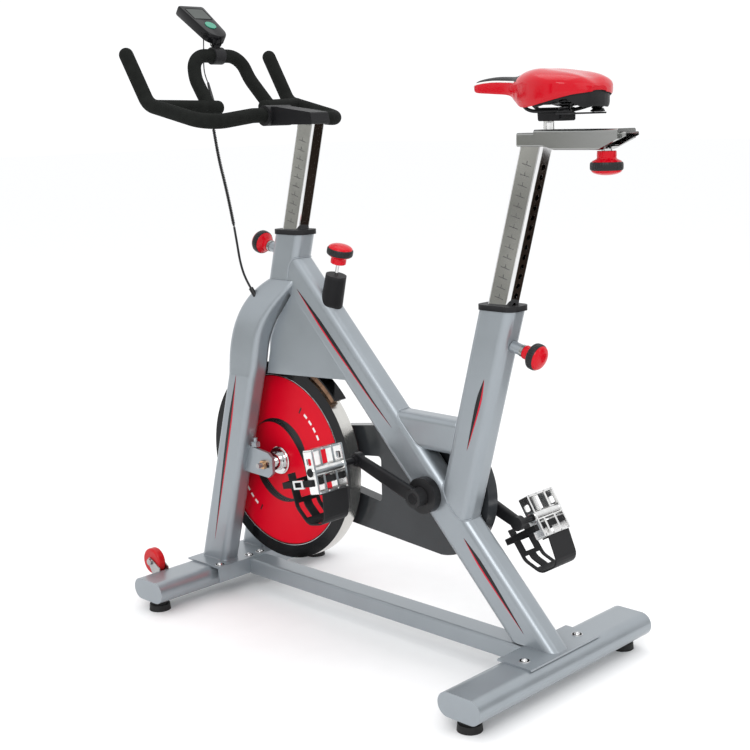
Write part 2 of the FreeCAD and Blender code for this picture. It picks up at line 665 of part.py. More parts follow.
def saddle():
    """Padded saddle body; its underside is level with the top of the springs."""
    sections = [(-127, 11, 1209, 1197), (-140, 19, 1217, 1190), (-180, 24, 1222, 1186),
                (-226, 31, 1219, 1182), (-262, 50, 1221, 1176), (-300, 74, 1225, 1171),
                (-338, 87, 1225, 1170), (-372, 84, 1219, 1171), (-398, 65, 1208, 1174), (-411, 36, 1197, 1180)]
    return Part.makeLoft([saddle_section(*values) for values in sections], True, False)


RAIL_Z = 1152.0             # straight part of the two saddle rails


def saddle_rails():
    """Two rails under the saddle, held by the clamp, and two springs behind."""
    pieces = []
    for side in (-1, 1):
        route = [V(-196, side * 10, 1183), V(-258, side * 17, RAIL_Z), V(-352, side * 17, RAIL_Z),
                 V(-384, side * 38, 1172)]
        pieces.append(pipe(bend_path(route, [18, 18]), 3.5).cut(saddle()))
        spring = ring_post(V(-372, side * 52, 1148), 13.0, 7.0, 27.0).cut(saddle())
        pieces.append(spring)
    tie = box(-386, -358, -66, 66, 1144.5, 1147.7)
    return pieces + [tie]


def ring_post(base, outer, inner, height):
    return Part.makeCylinder(outer, height, base).cut(Part.makeCylinder(inner, height, base))


def saddle_clamp():
    """Clamp block that turns on the slider's barrel, with grooves for the two rails and a cross bolt."""
    block = rounded_slab([(-346, 1133), (-286, 1133), (-284, 1158), (-346, 1158)], 4.0, -18, 18)
    block = block.cut(disc(SADDLE_PIVOT, -12.3, 12.3, PIVOT_RADIUS + 0.05))
    block = block.cut(box(SADDLE_PIVOT_X - 8, SADDLE_PIVOT_X + 8, -12.3, 12.3, 1120, SADDLE_PIVOT_Z))
    for side in (-1, 1):
        block = block.cut(rod(V(-360, side * 17, RAIL_Z), V(-270, side * 17, RAIL_Z), 3.8))
    bolt = disc(V(-334, 0, SADDLE_PIVOT_Z), -22, 22, 4.0)
    return [block.cut(bolt), bolt]


# ---- brake ---------------------------------------------------------------------------------------
BRAKE_GAP = 6.0             # pad to rim with the knob up
PAD_ANGLE = 127.0           # middle of the pad round the flywheel, from the front
ROD_LENGTH = 288.0
ROD_RADIUS = 4.0


def brake_boot():
    """Tapered rubber boot round the brake rod, standing on the main tube."""
    top = BRAKE_TOP + BRAKE_DOWN * 54
    low = BRAKE_TOP + BRAKE_DOWN * 150
    boot = Part.makeCone(26.0, 23.5, (top - low).Length, low, LEAN_UP)
    boot = keep_part_at(boot.cut(main_solid()), BRAKE_TOP)
    return boot.cut(rod(BRAKE_TOP, low, ROD_RADIUS + 0.4))


def brake_knob():
    """Brake and tension knob with its rod, which runs down through the main tube to the pad."""
    shaft = rod(BRAKE_TOP, BRAKE_TOP + BRAKE_DOWN * (ROD_LENGTH - 0.3), ROD_RADIUS)
    return shaft.fuse(knob_solids(BRAKE_TOP + LEAN_UP * -27, LEAN_UP, 30.0, 17.0))


def pad_sector(inner, outer, angle, half_angle, half_width):
    """An arc block round the flywheel, with its middle at an angle from the front."""
    start = math.radians(angle - half_angle)
    middle = math.radians(angle)
    end = math.radians(angle + half_angle)

    def at(radius, angle):
        return V(FLYWHEEL_X + radius * math.cos(angle), -half_width, FLYWHEEL_Z + radius * math.sin(angle))
    edges = [Part.Arc(at(inner, start), at(inner, middle), at(inner, end)).toShape(),
             Part.makeLine(at(inner, end), at(outer, end)),
             Part.Arc(at(outer, end), at(outer, middle), at(outer, start)).toShape(),
             Part.makeLine(at(outer, start), at(inner, start))]
    return Part.Face(Part.Wire(edges)).extrude(V(0, 2 * half_width, 0))


def brake_pad():
    """Four leather blocks in a steel shoe; the rod's end turns in the shoe's socket."""
    inner = FLYWHEEL_RADIUS + BRAKE_GAP
    leather = [pad_sector(inner, inner + 13, PAD_ANGLE + offset, 2.6, 15.0)
               for offset in (-8.25, -2.75, 2.75, 8.25)]
    shoe = pad_sector(inner + 13, inner + 17, PAD_ANGLE, 12.0, 17.0)
    socket = rod(BRAKE_TOP + BRAKE_DOWN * 262, BRAKE_TOP + BRAKE_DOWN * 300, 8.0)
    socket = keep_part_at(socket.cut(pad_sector(inner - 30, inner + 17, PAD_ANGLE, 30.0, 30.0)), BRAKE_TOP)
    shoe = shoe.fuse(socket).cut(rod(BRAKE_TOP, BRAKE_TOP + BRAKE_DOWN * ROD_LENGTH, ROD_RADIUS + 0.05))
    return leather + [shoe]


# ---- flywheel ------------------------------------------------------------------------------------
def flywheel_disc():
    """Heavy rim on a thin web."""
    rim = ring(HUB, -FLYWHEEL_HALF_WIDTH, FLYWHEEL_HALF_WIDTH, FLYWHEEL_RADIUS, COVER_RADIUS + 0.5)
    web = ring(HUB, -4.5, 4.5, COVER_RADIUS + 1, 20.0)
    return rim.fuse(web).removeSplitter()


def flywheel_covers():
    """Thin cover discs on both faces."""
    return [ring(HUB, 12.8, 15.3, COVER_RADIUS, 27.0), ring(HUB, -15.3, -12.8, COVER_RADIUS, 27.0)]


def flywheel_hub():
    """Hub with flanges, boss and the small chain wheel."""
    hub = disc(HUB, -38, 38, 19.9).fuse(disc(HUB, 4.6, 19, 26.8)).fuse(disc(HUB, -19, -4.6, 26.8))
    hub = hub.fuse(disc(HUB, 19, 24, 31.0)).fuse(disc(HUB, 38, 47, 13.0))
    wheel = toothed_disc(HUB, SPROCKET_TEETH, CHAIN_Y - 1.3, CHAIN_Y + 1.3)
    hub = hub.fuse(wheel).fuse(disc(HUB, CHAIN_Y - 4, -37, 24.0))
    return hub.cut(disc(HUB, -80, 80, 6.05)).removeSplitter()


PLATE_LEFT_Y = (58.0, 66.0)
PLATE_RIGHT_Y = (-77.0, -69.0)


def axle_plates():
    """Plates welded behind the fork legs, with the chain tension blocks."""
    pieces = []
    for low, high, sign in (PLATE_LEFT_Y + (1,), PLATE_RIGHT_Y + (-1,)):
        outline = [(455, 330), (455, 368), (470, 378), (548, 388), (578, 322), (470, 318)]
        plate = slab(outline, low, high)
        slot = slab([(466, 342.5), (498, 342.5), (498, 355.5), (466, 355.5)], low - 1, high + 1)
        plate = plate.cut(slot)
        leg = fork_leg()
        plate = keep_part_at(plate.cut(leg if sign > 0 else mirrored(leg)), V(480, low, 350))
        pieces.append(plate)
        middle = (low + high) / 2
        block = box(508, 524, middle - 6.5, middle + 6.5, 386.5, 398)
        stud = rod(V(516, middle, 398), V(516, middle, 408), 5.0)
        pieces.append(block.cut(plate).fuse(stud).removeSplitter())
    return pieces


def hexagon(center, y0, y1, across):
    radius = across / math.sqrt(3)
    corners = [(center.x + radius * cosine(60 * k), center.z + radius * sine(60 * k)) for k in range(6)]
    return slab(corners, y0, y1)


def flywheel_axle():
    """Fixed axle with spacers and nuts outside the plates."""
    axle = disc(HUB, -92, 88, 6.0)
    left = hexagon(HUB, 66, 74, 19.0).fuse(ring(HUB, 47.3, 58, 10.0, 5.9))
    right = hexagon(HUB, -85, -77, 19.0).fuse(ring(HUB, -69, -54.4, 9.0, 5.9))
    return axle.fuse(left).fuse(right).removeSplitter()


# ---- crank drive ---------------------------------------------------------------------------------
def crank_pin(angle):
    """Centre of a pedal spindle, in the side view."""
    a = math.radians(angle)
    return V(CRANK_LENGTH * math.cos(a), 0, BRACKET_Z + CRANK_LENGTH * math.sin(a))


LEFT_PIN = crank_pin(CRANK_ANGLE)
RIGHT_PIN = crank_pin(CRANK_ANGLE + 180)


def bearing_shell():
    """Bearing tube welded in the main tube, with the round cover on the left and a cup on the right."""
    shell = ring(BRACKET, -33, 30, 26.0, 18.0)
    cover = ring(BRACKET, 30, 49, 39.0, 8.05).fuse(ring(BRACKET, 16, 30, 17.9, 8.05)).removeSplitter()
    cup = ring(BRACKET, -38, -33, 22.0, 8.05).fuse(ring(BRACKET, -33, -18, 17.9, 8.05)).removeSplitter()
    return [shell, cover, cup]


def crank_axle():
    return disc(BRACKET, -88, 77, 8.0)


def crank_arm(pin, near, far, outward):
    """Crank arm with its boss, pedal boss and the fixed pedal spindle.

    `near` is the boss's inner face at the axle, `far` the arm's inner face at the pedal.
    """
    along = (V(pin.x, 0, pin.z) - BRACKET).normalize()
    across = V(along.z, 0, -along.x)
    root = rounded_loop(V(0, near + outward * 13, BRACKET_Z), across, V(0, 1, 0), 34, 18, 6)
    tip = rounded_loop(V(pin.x, far + outward * 8, pin.z), across, V(0, 1, 0), 27, 15, 6)
    arm = Part.makeLoft([root, tip], True, True)
    boss = disc(BRACKET, *sorted((near, near + outward * 25)), 20.5)
    eye = disc(pin, *sorted((far, far + outward * 16)), 15.5)
    spindle = disc(pin, *sorted((far + outward * 16, outward * (PEDAL_Y + 40))), 7.0)
    collar = disc(pin, *sorted((far + outward * 16, far + outward * 24)), 9.5)
    arm = arm.fuse(boss).fuse(eye).fuse(spindle).fuse(collar)
    return arm.cut(crank_axle()).removeSplitter()


def chainring():
    """Toothed ring on five arms."""
    wheel = toothed_disc(BRACKET, CHAINRING_TEETH, CHAIN_Y - 1.3, CHAIN_Y + 1.3)
    spider = disc(BRACKET, CHAIN_Y - 9, CHAIN_Y - 1.3, 28.0)
    for index in range(5):
        angle = 2 * math.pi * index / 5 + 0.3
        hole = V(BRACKET.x + 62 * math.cos(angle + 0.63), 0, BRACKET.z + 62 * math.sin(angle + 0.63))
        wheel = wheel.cut(disc(hole, CHAIN_Y - 5, CHAIN_Y + 5, 21.0))
        tip = BRACKET + V(72 * math.cos(angle), CHAIN_Y - 5, 72 * math.sin(angle))
        spider = spider.fuse(bar(V(0, CHAIN_Y - 5, BRACKET_Z), tip, 18.0, 7.4, 2.0))
    return wheel.fuse(spider).cut(crank_axle()).removeSplitter()


def chain_outline(offset):
    """Closed loop round both chain wheels, `offset` outside the pitch line."""
    big = CHAIN_PITCH / (2 * math.sin(math.pi / CHAINRING_TEETH)) + offset
    small = CHAIN_PITCH / (2 * math.sin(math.pi / SPROCKET_TEETH)) + offset
    span = HUB - BRACKET
    heading = math.atan2(span.z, span.x)
    spread = math.acos((big - small) / span.Length)

    def at(center, radius, angle):
        return V(center.x + radius * math.cos(angle), 0, center.z + radius * math.sin(angle))
    top, low = heading + spread, heading - spread
    rear_turn = Part.Arc(at(BRACKET, big, top), at(BRACKET, big, heading + math.pi), at(BRACKET, big, low))
    front_turn = Part.Arc(at(HUB, small, low), at(HUB, small, heading), at(HUB, small, top))
    return Part.Wire([rear_turn.toShape(), Part.makeLine(at(BRACKET, big, low), at(HUB, small, low)),
                      front_turn.toShape(), Part.makeLine(at(HUB, small, top), at(BRACKET, big, top))])


def drive_chain():
    """Roller chain as two side plates, joined by rollers along its free runs."""
    outer = Part.Face(chain_outline(4.2))
    inner = Part.Face(chain_outline(-4.2))
    chain = None
    for low in (CHAIN_Y - 3.8, CHAIN_Y + 2.4):
        plate = outer.extrude(V(0, 1.4, 0)).cut(inner.extrude(V(0, 1.4, 0)))
        plate.translate(V(0, low, 0))
        chain = plate if chain is None else chain.fuse(plate)
    runs = [edge for edge in chain_outline(0.0).Edges if edge.Curve.TypeId == "Part::GeomLine"]
    for run in runs:
        start, end = run.Vertexes[0].Point, run.Vertexes[1].Point
        step = (end - start).normalize() * CHAIN_PITCH * 2
        for index in range(2, int((end - start).Length / (2 * CHAIN_PITCH)) - 1):
            chain = chain.fuse(disc(start + step * index, CHAIN_Y - 2.5, CHAIN_Y + 2.5, 3.4))
    return chain


GUARD_INNER_Y = -35.0
GUARD_OUTER_Y = -66.0
GUARD_SPLIT_Y = -43.0
GUARD_CENTER = V(30.0, 0, 345.0)
GUARD_RADIUS = 145.0
GUARD_NOSE = V(485.0, 0, 349.0)


def guard_face(inset):
    """Side outline of the chain guard: a big round end behind, a small one at the flywheel."""
    big = GUARD_RADIUS - inset
    small = 51.0 - inset

    def at(center, radius, degrees):
        return V(center.x + radius * cosine(degrees), 0, center.z + radius * sine(degrees))
    upper = [at(GUARD_CENTER, big, 82), V(318, 0, 449 - inset), at(GUARD_NOSE, small, 62)]
    lower = [at(GUARD_NOSE, small, -66), V(318, 0, 222 + inset), at(GUARD_CENTER, big, -94)]
    rear_end = Part.Arc(lower[2], at(GUARD_CENTER, big, 174), upper[0])
    edges = [rear_end.toShape(),
             Part.makeLine(upper[0], upper[1]), Part.makeLine(upper[1], upper[2]),
             Part.Arc(upper[2], at(GUARD_NOSE, small, 0), lower[0]).toShape(),
             Part.makeLine(lower[0], lower[1]), Part.makeLine(lower[1], lower[2])]
    return Part.Face(Part.Wire(edges))


def guard_window(inset, y0, y1):
    """The see-through gap between the two runs of the chain."""
    points = [(197 - inset, 287 - inset), (400 + inset, 317 - inset),
              (400 + inset, 370 + inset), (197 - inset, 394 + inset)]
    return rounded_slab(points, 9.0, y0, y1)


def guard_half(face_y, split_y, axle_radius, hub_radius):
    """One half of the chain guard: a skin with walls round its rim and round the window."""
    low, high = sorted((face_y, split_y))
    half = guard_face(0).extrude(V(0, high - low, 0))
    half.translate(V(0, low, 0))
    inner = guard_face(2.5).extrude(V(0, high - low - 2.5, 0))
    inner.translate(V(0, low if split_y < face_y else low + 2.5, 0))
    half = half.cut(inner.cut(guard_window(2.5, low - 1, high + 1)))
    half = half.cut(guard_window(0, low - 1, high + 1))
    half = half.cut(disc(BRACKET, low - 5, high + 5, axle_radius))
    return half.cut(disc(HUB, low - 5, high + 5, hub_radius))


def chain_guard_inner():
    return guard_half(GUARD_INNER_Y, GUARD_SPLIT_Y, 23.5, 27.0)


def chain_guard_outer():
    return guard_half(GUARD_OUTER_Y, GUARD_SPLIT_Y - 0.1, 23.5, 11.0)


# ---- pedals --------------------------------------------------------------------------------------
PEDAL_LONG = 96.0
PEDAL_WIDE = 92.0
PEDAL_HIGH = 26.0


def pedal_cage():
    """Alloy cage pedal laid flat, toe to +X, spindle along Y through the origin."""
    half_long, half_wide, half_high = PEDAL_LONG / 2, PEDAL_WIDE / 2, PEDAL_HIGH / 2
    frame = box(-half_long, half_long, -half_wide, half_wide, -half_high, half_high)
    frame = frame.makeFillet(4.0, [edge for edge in frame.Edges if abs(edge.tangentAt(0).z) > 0.9])
    frame = frame.cut(box(-half_long + 5, half_long - 5, -half_wide + 5, half_wide - 5, -20, 20))
    for side in (-1, 1):
        wall = side * half_wide
        window = rounded_slab([(-30, -7), (-15, -7), (-15, 7), (-30, 7)], 3.0, wall - 6, wall + 6)
        frame = frame.cut(window)
        window.translate(V(45, 0, 0))
        frame = frame.cut(window)
        for y in (-26, 0, 26):
            frame = frame.cut(box(side * half_long - 7, side * half_long + 7, y - 9, y + 9, -7, 7))
        frame = frame.fuse(box(-6, 6, side * 30 - 3, side * 30 + 3, -9, 9).fuse(
            box(-half_long + 4, half_long - 4, side * 18 - 3, side * 18 + 3, -9, 9)))
    barrel = disc(V(0, 0, 0), -half_wide - 2, half_wide - 4, 12.5)
    barrel = barrel.fuse(disc(V(0, 0, 0), half_wide - 4, half_wide + 2, 10.0))
    frame = frame.fuse(barrel).cut(disc(V(0, 0, 0), -half_wide - 5, half_wide - 5, 7.05))
    frame = frame.cut(disc(V(0, 0, 0), -half_wide - 5, -half_wide + 1.5, 10.0))
    frame = frame.cut(box(14.5, 30.5, -30, 30, -2, 2))
    return frame.removeSplitter()


CLIP_THICKNESS = 3.0


def toe_clip():
    """Toe cage: out from the cage pedal's front, round the toe and back over the foot."""
    route = [V(48.5, 0, -11), V(113, 0, 0), V(112, 0, 50), V(74, 0, 78), V(0, 0, 84)]
    line = bend_path(route, [20, 24, 24]).discretize(40)
    outer = []
    for index, point in enumerate(line):
        ahead = line[min(index + 1, len(line) - 1)]
        behind = line[max(index - 1, 0)]
        along = (ahead - behind).normalize()
        outer.append(point + V(along.z, 0, -along.x) * CLIP_THICKNESS)
    cage = slab([(p.x, p.z) for p in line + outer[::-1]], -36, 36)
    for y in (-19, 19):
        cage = cage.cut(box(66, 100, y - 8, y + 8, 60, 96))
        cage = cage.cut(box(100, 125, y - 8, y + 8, 14, 42))
    cage = cage.cut(box(-20, 56, -16, 16, 60, 95))
    foot = box(48.4, 51.4, -30, 30, -11, 11)
    return cage.fuse(foot).removeSplitter()


def pedal_strap():
    """Strap threaded through the pedal's side windows and over the toe clip, with its buckle."""
    y = PEDAL_WIDE / 2 + 3.2
    top = 92.0
    band = box(15.5, 29.5, -y - 2, y + 2, -1, top).cut(box(14, 31, -y, y, 1, top - 2))
    buckle = box(13, 32, y + 2, y + 7, 20, 52).cut(box(17, 28, y + 1, y + 9, 26, 46))
    return [band, buckle]


def place_pedal(shape, pin, side, tilt):
    """Set a flat pedal on its spindle; the right pedal is the mirror of the left."""
    piece = shape.copy() if side > 0 else mirrored(shape)
    spindle = FreeCAD.Placement(V(pin.x, side * PEDAL_Y, pin.z), FreeCAD.Rotation(V(0, 1, 0), tilt))
    piece.Placement = spindle.multiply(piece.Placement)
    return piece


# ---- feet and transport wheels -------------------------------------------------------------------
def levelling_foot(x, y):
    """Rubber foot on a threaded stem."""
    pad = Part.makeCone(25.5, 24.0, 15.0, V(x, y, 0)).fuse(Part.makeCylinder(20.0, 6.0, V(x, y, 15)))
    stem = Part.makeCylinder(5.0, 38.0, V(x, y, 20))
    return pad.fuse(stem).removeSplitter()


WHEEL_CENTER = V(737.0, 215.0, 94.0)
WHEEL_RADIUS = 32.0


def transport_wheel(side):
    y = side * WHEEL_CENTER.y
    wheel = disc(WHEEL_CENTER, y - 10.5, y + 10.5, WHEEL_RADIUS)
    wheel = wheel.makeFillet(5.0, [edge for edge in wheel.Edges if edge.Curve.TypeId == "Part::GeomCircle"])
    return wheel.cut(disc(WHEEL_CENTER, y - 12, y + 12, 5.05))


def wheel_brackets():
    """Fork of two strips from the stabiliser to each transport wheel, with its axle bolt."""
    pieces = []
    for side in (1, -1):
        y = side * WHEEL_CENTER.y
        fork = disc(WHEEL_CENTER, y - 14.5, y + 14.5, 5.0)
        for low in (y - 13.9, y + 11.4):
            arm = slab([(700, 60), (726, 60), (748, 96), (740, 105), (726, 100), (700, 84)], low, low + 2.5)
            fork = fork.fuse(arm)
        for low in (y + 13.9, y - 18):
            fork = fork.fuse(disc(WHEEL_CENTER, low, low + 4.1, 8.0))
        fork = fork.cut(stabiliser_bar(FRONT_STABILISER_X, -290, 290))
        pieces.append(keep_part_at(fork, V(737, y, 94)))
    return pieces


# ---- console cord --------------------------------------------------------------------------------
LEAD_RADIUS = 1.5
COIL_RADIUS = 4.2
TAIL_RADIUS = 2.7
LEAD_ROUTE = [V(699.6, 10, 1348.4), V(699, 12, 1316), V(690, 22, 1282), V(668, 38, 1254), V(642, 50, 1235)]
COIL_ROUTE = [V(598, 77, 1136), V(589, 74.5, 1070), V(572, 71, 1004), V(560.5, 68.5, 950), V(552, 67, 906)]
TAIL_ROUTE = [V(552, 67, 906), V(546, 65.5, 868), V(541, 63.5, 826), V(530, 60, 788), V(516, 55.5, 765)]


def cord_pipe(route, radius):
    radii = cord_radii(route)
    print("cord radii", [round(value) for value in radii])
    return pipe(bend_path(route, radii), radius)


def cord_fittings(lead, coil):
    """Strain reliefs where the cord enters and leaves the padded elbow of the loop."""
    loop = handlebar_loop()
    fittings = []
    for end, radius, cord in ((LEAD_ROUTE[-1], 2.8, lead), (COIL_ROUTE[0], 4.6, coil)):
        inward = LOOP_ELBOW - end
        fitting = Part.makeCone(radius, radius + 3.0, inward.Length, end, inward)
        fittings.append(keep_part_at(fitting.cut(loop).cut(cord), end))
    return fittings


def cord_gland():
    """Grommet where the cord enters the fork's shoulder."""
    end = TAIL_ROUTE[-1]
    inward = (end - TAIL_ROUTE[-2]).normalize()
    gland = rod(end, end + inward * 26, 5.5)
    return keep_part_at(gland.cut(fork_leg()), end)


# ---- write every piece ---------------------------------------------------------------------------
def main():
    leg = fork_leg()
    panel = fairing_panel()
    cage = pedal_cage()
    clip = toe_clip()
    lead = cord_pipe(LEAD_ROUTE, LEAD_RADIUS)
    coil = cord_pipe(COIL_ROUTE, COIL_RADIUS)
    strap = pedal_strap()
    pieces = {
        "main_tube": [main_tube()],
        "seat_tube": [seat_tube(), pin_boss(SEAT_PIN, LEAN_FRONT * -1)],
        "brace_tube": [brace()],
        "head_tube": [head_tube(), pin_boss(HEAD_PIN, LEAN_FRONT)],
        "fork_leg_left": [leg],
        "fork_leg_right": [mirrored(leg)],
        "flywheel_fairing": [panel, mirrored(panel)],
        "base_rail": [base_rail()],
        "front_stabiliser": [stabiliser(FRONT_STABILISER_X)],
        "rear_stabiliser": [stabiliser(REAR_STABILISER_X)],
        "end_caps": end_caps(),
        "base_plates": base_plates(),
        "plate_bolts": plate_bolts(),
        "tube_collars": [tube_collar(HEAD_AXIS, HEAD_TOP_Z), tube_collar(SEAT_AXIS, SEAT_TOP_Z)],
        "head_knob": [pull_knob(HEAD_PIN, LEAN_FRONT)],
        "seat_knob": [pull_knob(SEAT_PIN, LEAN_FRONT * -1)],
        "handlebar_post": [handlebar_post()],
        "handlebar_bracket": [handlebar_bracket()],
        "handlebar_bar": [handlebar_bar()],
        "handlebar_loop": [handlebar_loop()],
        "console_stem": [console_stem()],
        "console_case": console_case(),
        "console_button": [console_button()],
        "seat_post": seat_post(),
        "seat_slider": [seat_slider()],
        "slider_knob": [slider_knob()],
        "saddle": [saddle()],
        "saddle_rails": saddle_rails(),
        "saddle_clamp": saddle_clamp(),
        "brake_boot": [brake_boot()],
        "brake_knob": [brake_knob()],
        "brake_pad": brake_pad(),
        "flywheel_disc": [flywheel_disc()],
        "flywheel_covers": flywheel_covers(),
        "flywheel_hub": [flywheel_hub()],
        "flywheel_axle": [flywheel_axle()],
        "axle_plates": axle_plates(),
        "bearing_shell": bearing_shell(),
        "crank_arm_left": [crank_arm(LEFT_PIN, 52, 68, 1)],
        "crank_arm_right": [crank_arm(RIGHT_PIN, -68.5, -72, -1), crank_axle()],
        "chainring": [chainring()],
        "drive_chain": [drive_chain()],
        "chain_guard_inner": [chain_guard_inner()],
        "chain_guard_outer": [chain_guard_outer()],
        "pedal_left": [place_pedal(cage, LEFT_PIN, 1, PEDAL_TILT_LEFT)],
        "pedal_right": [place_pedal(cage, RIGHT_PIN, -1, PEDAL_TILT_RIGHT)],
        "toe_clip_left": [place_pedal(piece, LEFT_PIN, 1, PEDAL_TILT_LEFT) for piece in [clip] + strap],
        "toe_clip_right": [place_pedal(piece, RIGHT_PIN, -1, PEDAL_TILT_RIGHT) for piece in [clip] + strap],
        "wheel_brackets": wheel_brackets(),
        "transport_wheel_left": [transport_wheel(1)],
        "transport_wheel_right": [transport_wheel(-1)],
        "console_lead": [lead],
        "curly_cord": [coil],
        "cord_tail": [cord_pipe(TAIL_ROUTE, TAIL_RADIUS)],
        "cord_fittings": cord_fittings(lead, coil),
        "cord_gland": [cord_gland()],
    }
    feet = [("front_left", FRONT_STABILISER_X, FOOT_Y), ("front_right", FRONT_STABILISER_X, -FOOT_Y),
            ("rear_left", REAR_STABILISER_X, FOOT_Y), ("rear_right", REAR_STABILISER_X, -FOOT_Y)]
    for place, x, y in feet:
        pieces["foot_%s" % place] = [levelling_foot(x, y)]
    for name, solids in pieces.items():
        save(name, solids)
    print("nodes", len(pieces))


main()
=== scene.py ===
import json
import math
import random

import bpy
from mathutils import Matrix, Vector
from mathutils.bvhtree import BVHTree


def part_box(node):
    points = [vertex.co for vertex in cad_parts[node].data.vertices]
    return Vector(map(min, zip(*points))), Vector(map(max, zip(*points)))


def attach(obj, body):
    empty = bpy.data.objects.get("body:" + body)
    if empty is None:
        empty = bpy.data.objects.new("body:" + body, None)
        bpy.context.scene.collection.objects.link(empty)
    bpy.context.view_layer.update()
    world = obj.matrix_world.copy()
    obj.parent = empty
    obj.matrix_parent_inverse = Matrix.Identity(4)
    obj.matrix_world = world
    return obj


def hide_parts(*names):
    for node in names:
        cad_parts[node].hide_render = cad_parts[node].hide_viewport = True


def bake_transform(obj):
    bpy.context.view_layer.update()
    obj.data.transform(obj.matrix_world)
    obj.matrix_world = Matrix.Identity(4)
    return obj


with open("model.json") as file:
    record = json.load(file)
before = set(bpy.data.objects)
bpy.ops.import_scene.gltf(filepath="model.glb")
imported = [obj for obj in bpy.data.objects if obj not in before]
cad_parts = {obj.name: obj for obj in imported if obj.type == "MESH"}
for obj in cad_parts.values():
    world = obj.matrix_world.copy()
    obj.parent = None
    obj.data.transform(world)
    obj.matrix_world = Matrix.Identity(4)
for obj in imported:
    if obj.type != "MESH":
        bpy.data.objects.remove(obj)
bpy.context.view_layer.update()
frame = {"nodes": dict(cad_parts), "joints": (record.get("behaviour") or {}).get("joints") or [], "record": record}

MM = 0.001
JOINTS = {joint["name"]: joint for joint in frame["joints"]}
HUB = Vector(JOINTS["flywheel_spin"]["pos_m"])
CRANK = Vector(JOINTS["crank_spin"]["pos_m"])
BRACKET_X = JOINTS["crank_spin"]["pos_m"][0] / MM       # the crank axle, in millimetres
LEAN = math.radians(15.0)       # both posts lean back by this much
LEAN_UP = Vector((-math.sin(LEAN), 0, math.cos(LEAN)))
LEAN_FRONT = Vector((math.cos(LEAN), 0, math.sin(LEAN)))
ACROSS = Vector((0, 1, 0))
UP = Vector((0, 0, 1))
SIDES = ((1, "left"), (-1, "right"))
CUBOID_FACES = ((0, 3, 2, 1), (4, 5, 6, 7), (0, 1, 5, 4), (1, 2, 6, 5), (2, 3, 7, 6), (3, 0, 4, 7))


def at(x, y, z):
    """A point given in millimetres, with x measured from the crank axle."""
    return Vector((x + BRACKET_X, y, z)) * MM


HEAD_AXIS = at(409.5, 0, 922)       # a point on the middle line of the handlebar post
SEAT_AXIS = at(-187, 0, 780)        # and one on that of the seat post


def on_lean(point, z):
    """The point at height z, in millimetres, on the leaning line through a point."""
    return point + LEAN_UP * ((z * MM - point.z) / LEAN_UP.z)


# ---- materials ---------------------------------------------------
EDGE_STARTS, EDGE_FULL = 0.53, 0.62     # pointiness of a mesh where the wear begins and is full
GRAIN_HEIGHT = 0.4 * MM


def material(name, color, roughness, metallic=0.0, mottle=0.08, mottle_scale=14.0, grain=0.15,
             grain_scale=900.0, cells=False, coat=0.0, gleam=0.5, stretch=(1, 1, 1), wear=0.0):
    """Procedural finish: colour and roughness vary slowly, and a fine grain or cells give the bump.

    A little wear lightens the edges, and gleam is the strength of the reflections on a non-metal.
    """
    made = bpy.data.materials.new(name)
    made.use_nodes = True
    nodes, links = made.node_tree.nodes, made.node_tree.links
    shader = nodes["Principled BSDF"]
    shader.inputs["Metallic"].default_value = metallic
    shader.inputs["Coat Weight"].default_value = coat
    shader.inputs["Coat Roughness"].default_value = 0.08
    shader.inputs["Specular IOR Level"].default_value = gleam
    place = nodes.new("ShaderNodeTexCoord")
    scale = nodes.new("ShaderNodeMapping")
    scale.inputs["Scale"].default_value = stretch
    links.new(place.outputs["Object"], scale.inputs["Vector"])

    slow = nodes.new("ShaderNodeTexNoise")
    slow.inputs["Scale"].default_value = mottle_scale
    slow.inputs["Detail"].default_value = 6.0
    links.new(scale.outputs["Vector"], slow.inputs["Vector"])
    shade = nodes.new("ShaderNodeValToRGB")
    shade.color_ramp.elements[0].position = 0.3
    shade.color_ramp.elements[1].position = 0.7
    shade.color_ramp.elements[0].color = [*(c * (1 - mottle) for c in color), 1]
    shade.color_ramp.elements[1].color = [*(min(1.0, c * (1 + mottle)) for c in color), 1]
    links.new(slow.outputs["Fac"], shade.inputs["Fac"])
    last_color = shade.outputs["Color"]
    if wear:
        geometry = nodes.new("ShaderNodeNewGeometry")
        edge = nodes.new("ShaderNodeMapRange")
        edge.inputs["From Min"].default_value = EDGE_STARTS
        edge.inputs["From Max"].default_value = EDGE_FULL
        edge.inputs["To Max"].default_value = wear
        links.new(geometry.outputs["Pointiness"], edge.inputs["Value"])
        rub = nodes.new("ShaderNodeMix")
        rub.data_type = "RGBA"
        rub.inputs["B"].default_value = [*(min(1.0, c * 1.3 + 0.05) for c in color), 1]
        links.new(edge.outputs["Result"], rub.inputs["Factor"])
        links.new(last_color, rub.inputs["A"])
        last_color = rub.outputs["Result"]
    links.new(last_color, shader.inputs["Base Color"])

    fine = nodes.new("ShaderNodeTexVoronoi" if cells else "ShaderNodeTexNoise")
    fine.inputs["Scale"].default_value = grain_scale
    links.new(scale.outputs["Vector"], fine.inputs["Vector"])
    height = fine.outputs["Distance" if cells else "Fac"]
    spread = nodes.new("ShaderNodeMapRange")
    spread.inputs["To Min"].default_value = max(0.02, roughness * 0.8)
    spread.inputs["To Max"].default_value = min(1.0, roughness * 1.25)
    links.new(slow.outputs["Fac"], spread.inputs["Value"])
    links.new(spread.outputs["Result"], shader.inputs["Roughness"])
    bump = nodes.new("ShaderNodeBump")
    bump.inputs["Strength"].default_value = grain
    bump.inputs["Distance"].default_value = GRAIN_HEIGHT
    links.new(height, bump.inputs["Height"])
    links.new(bump.outputs["Normal"], shader.inputs["Normal"])
    return made


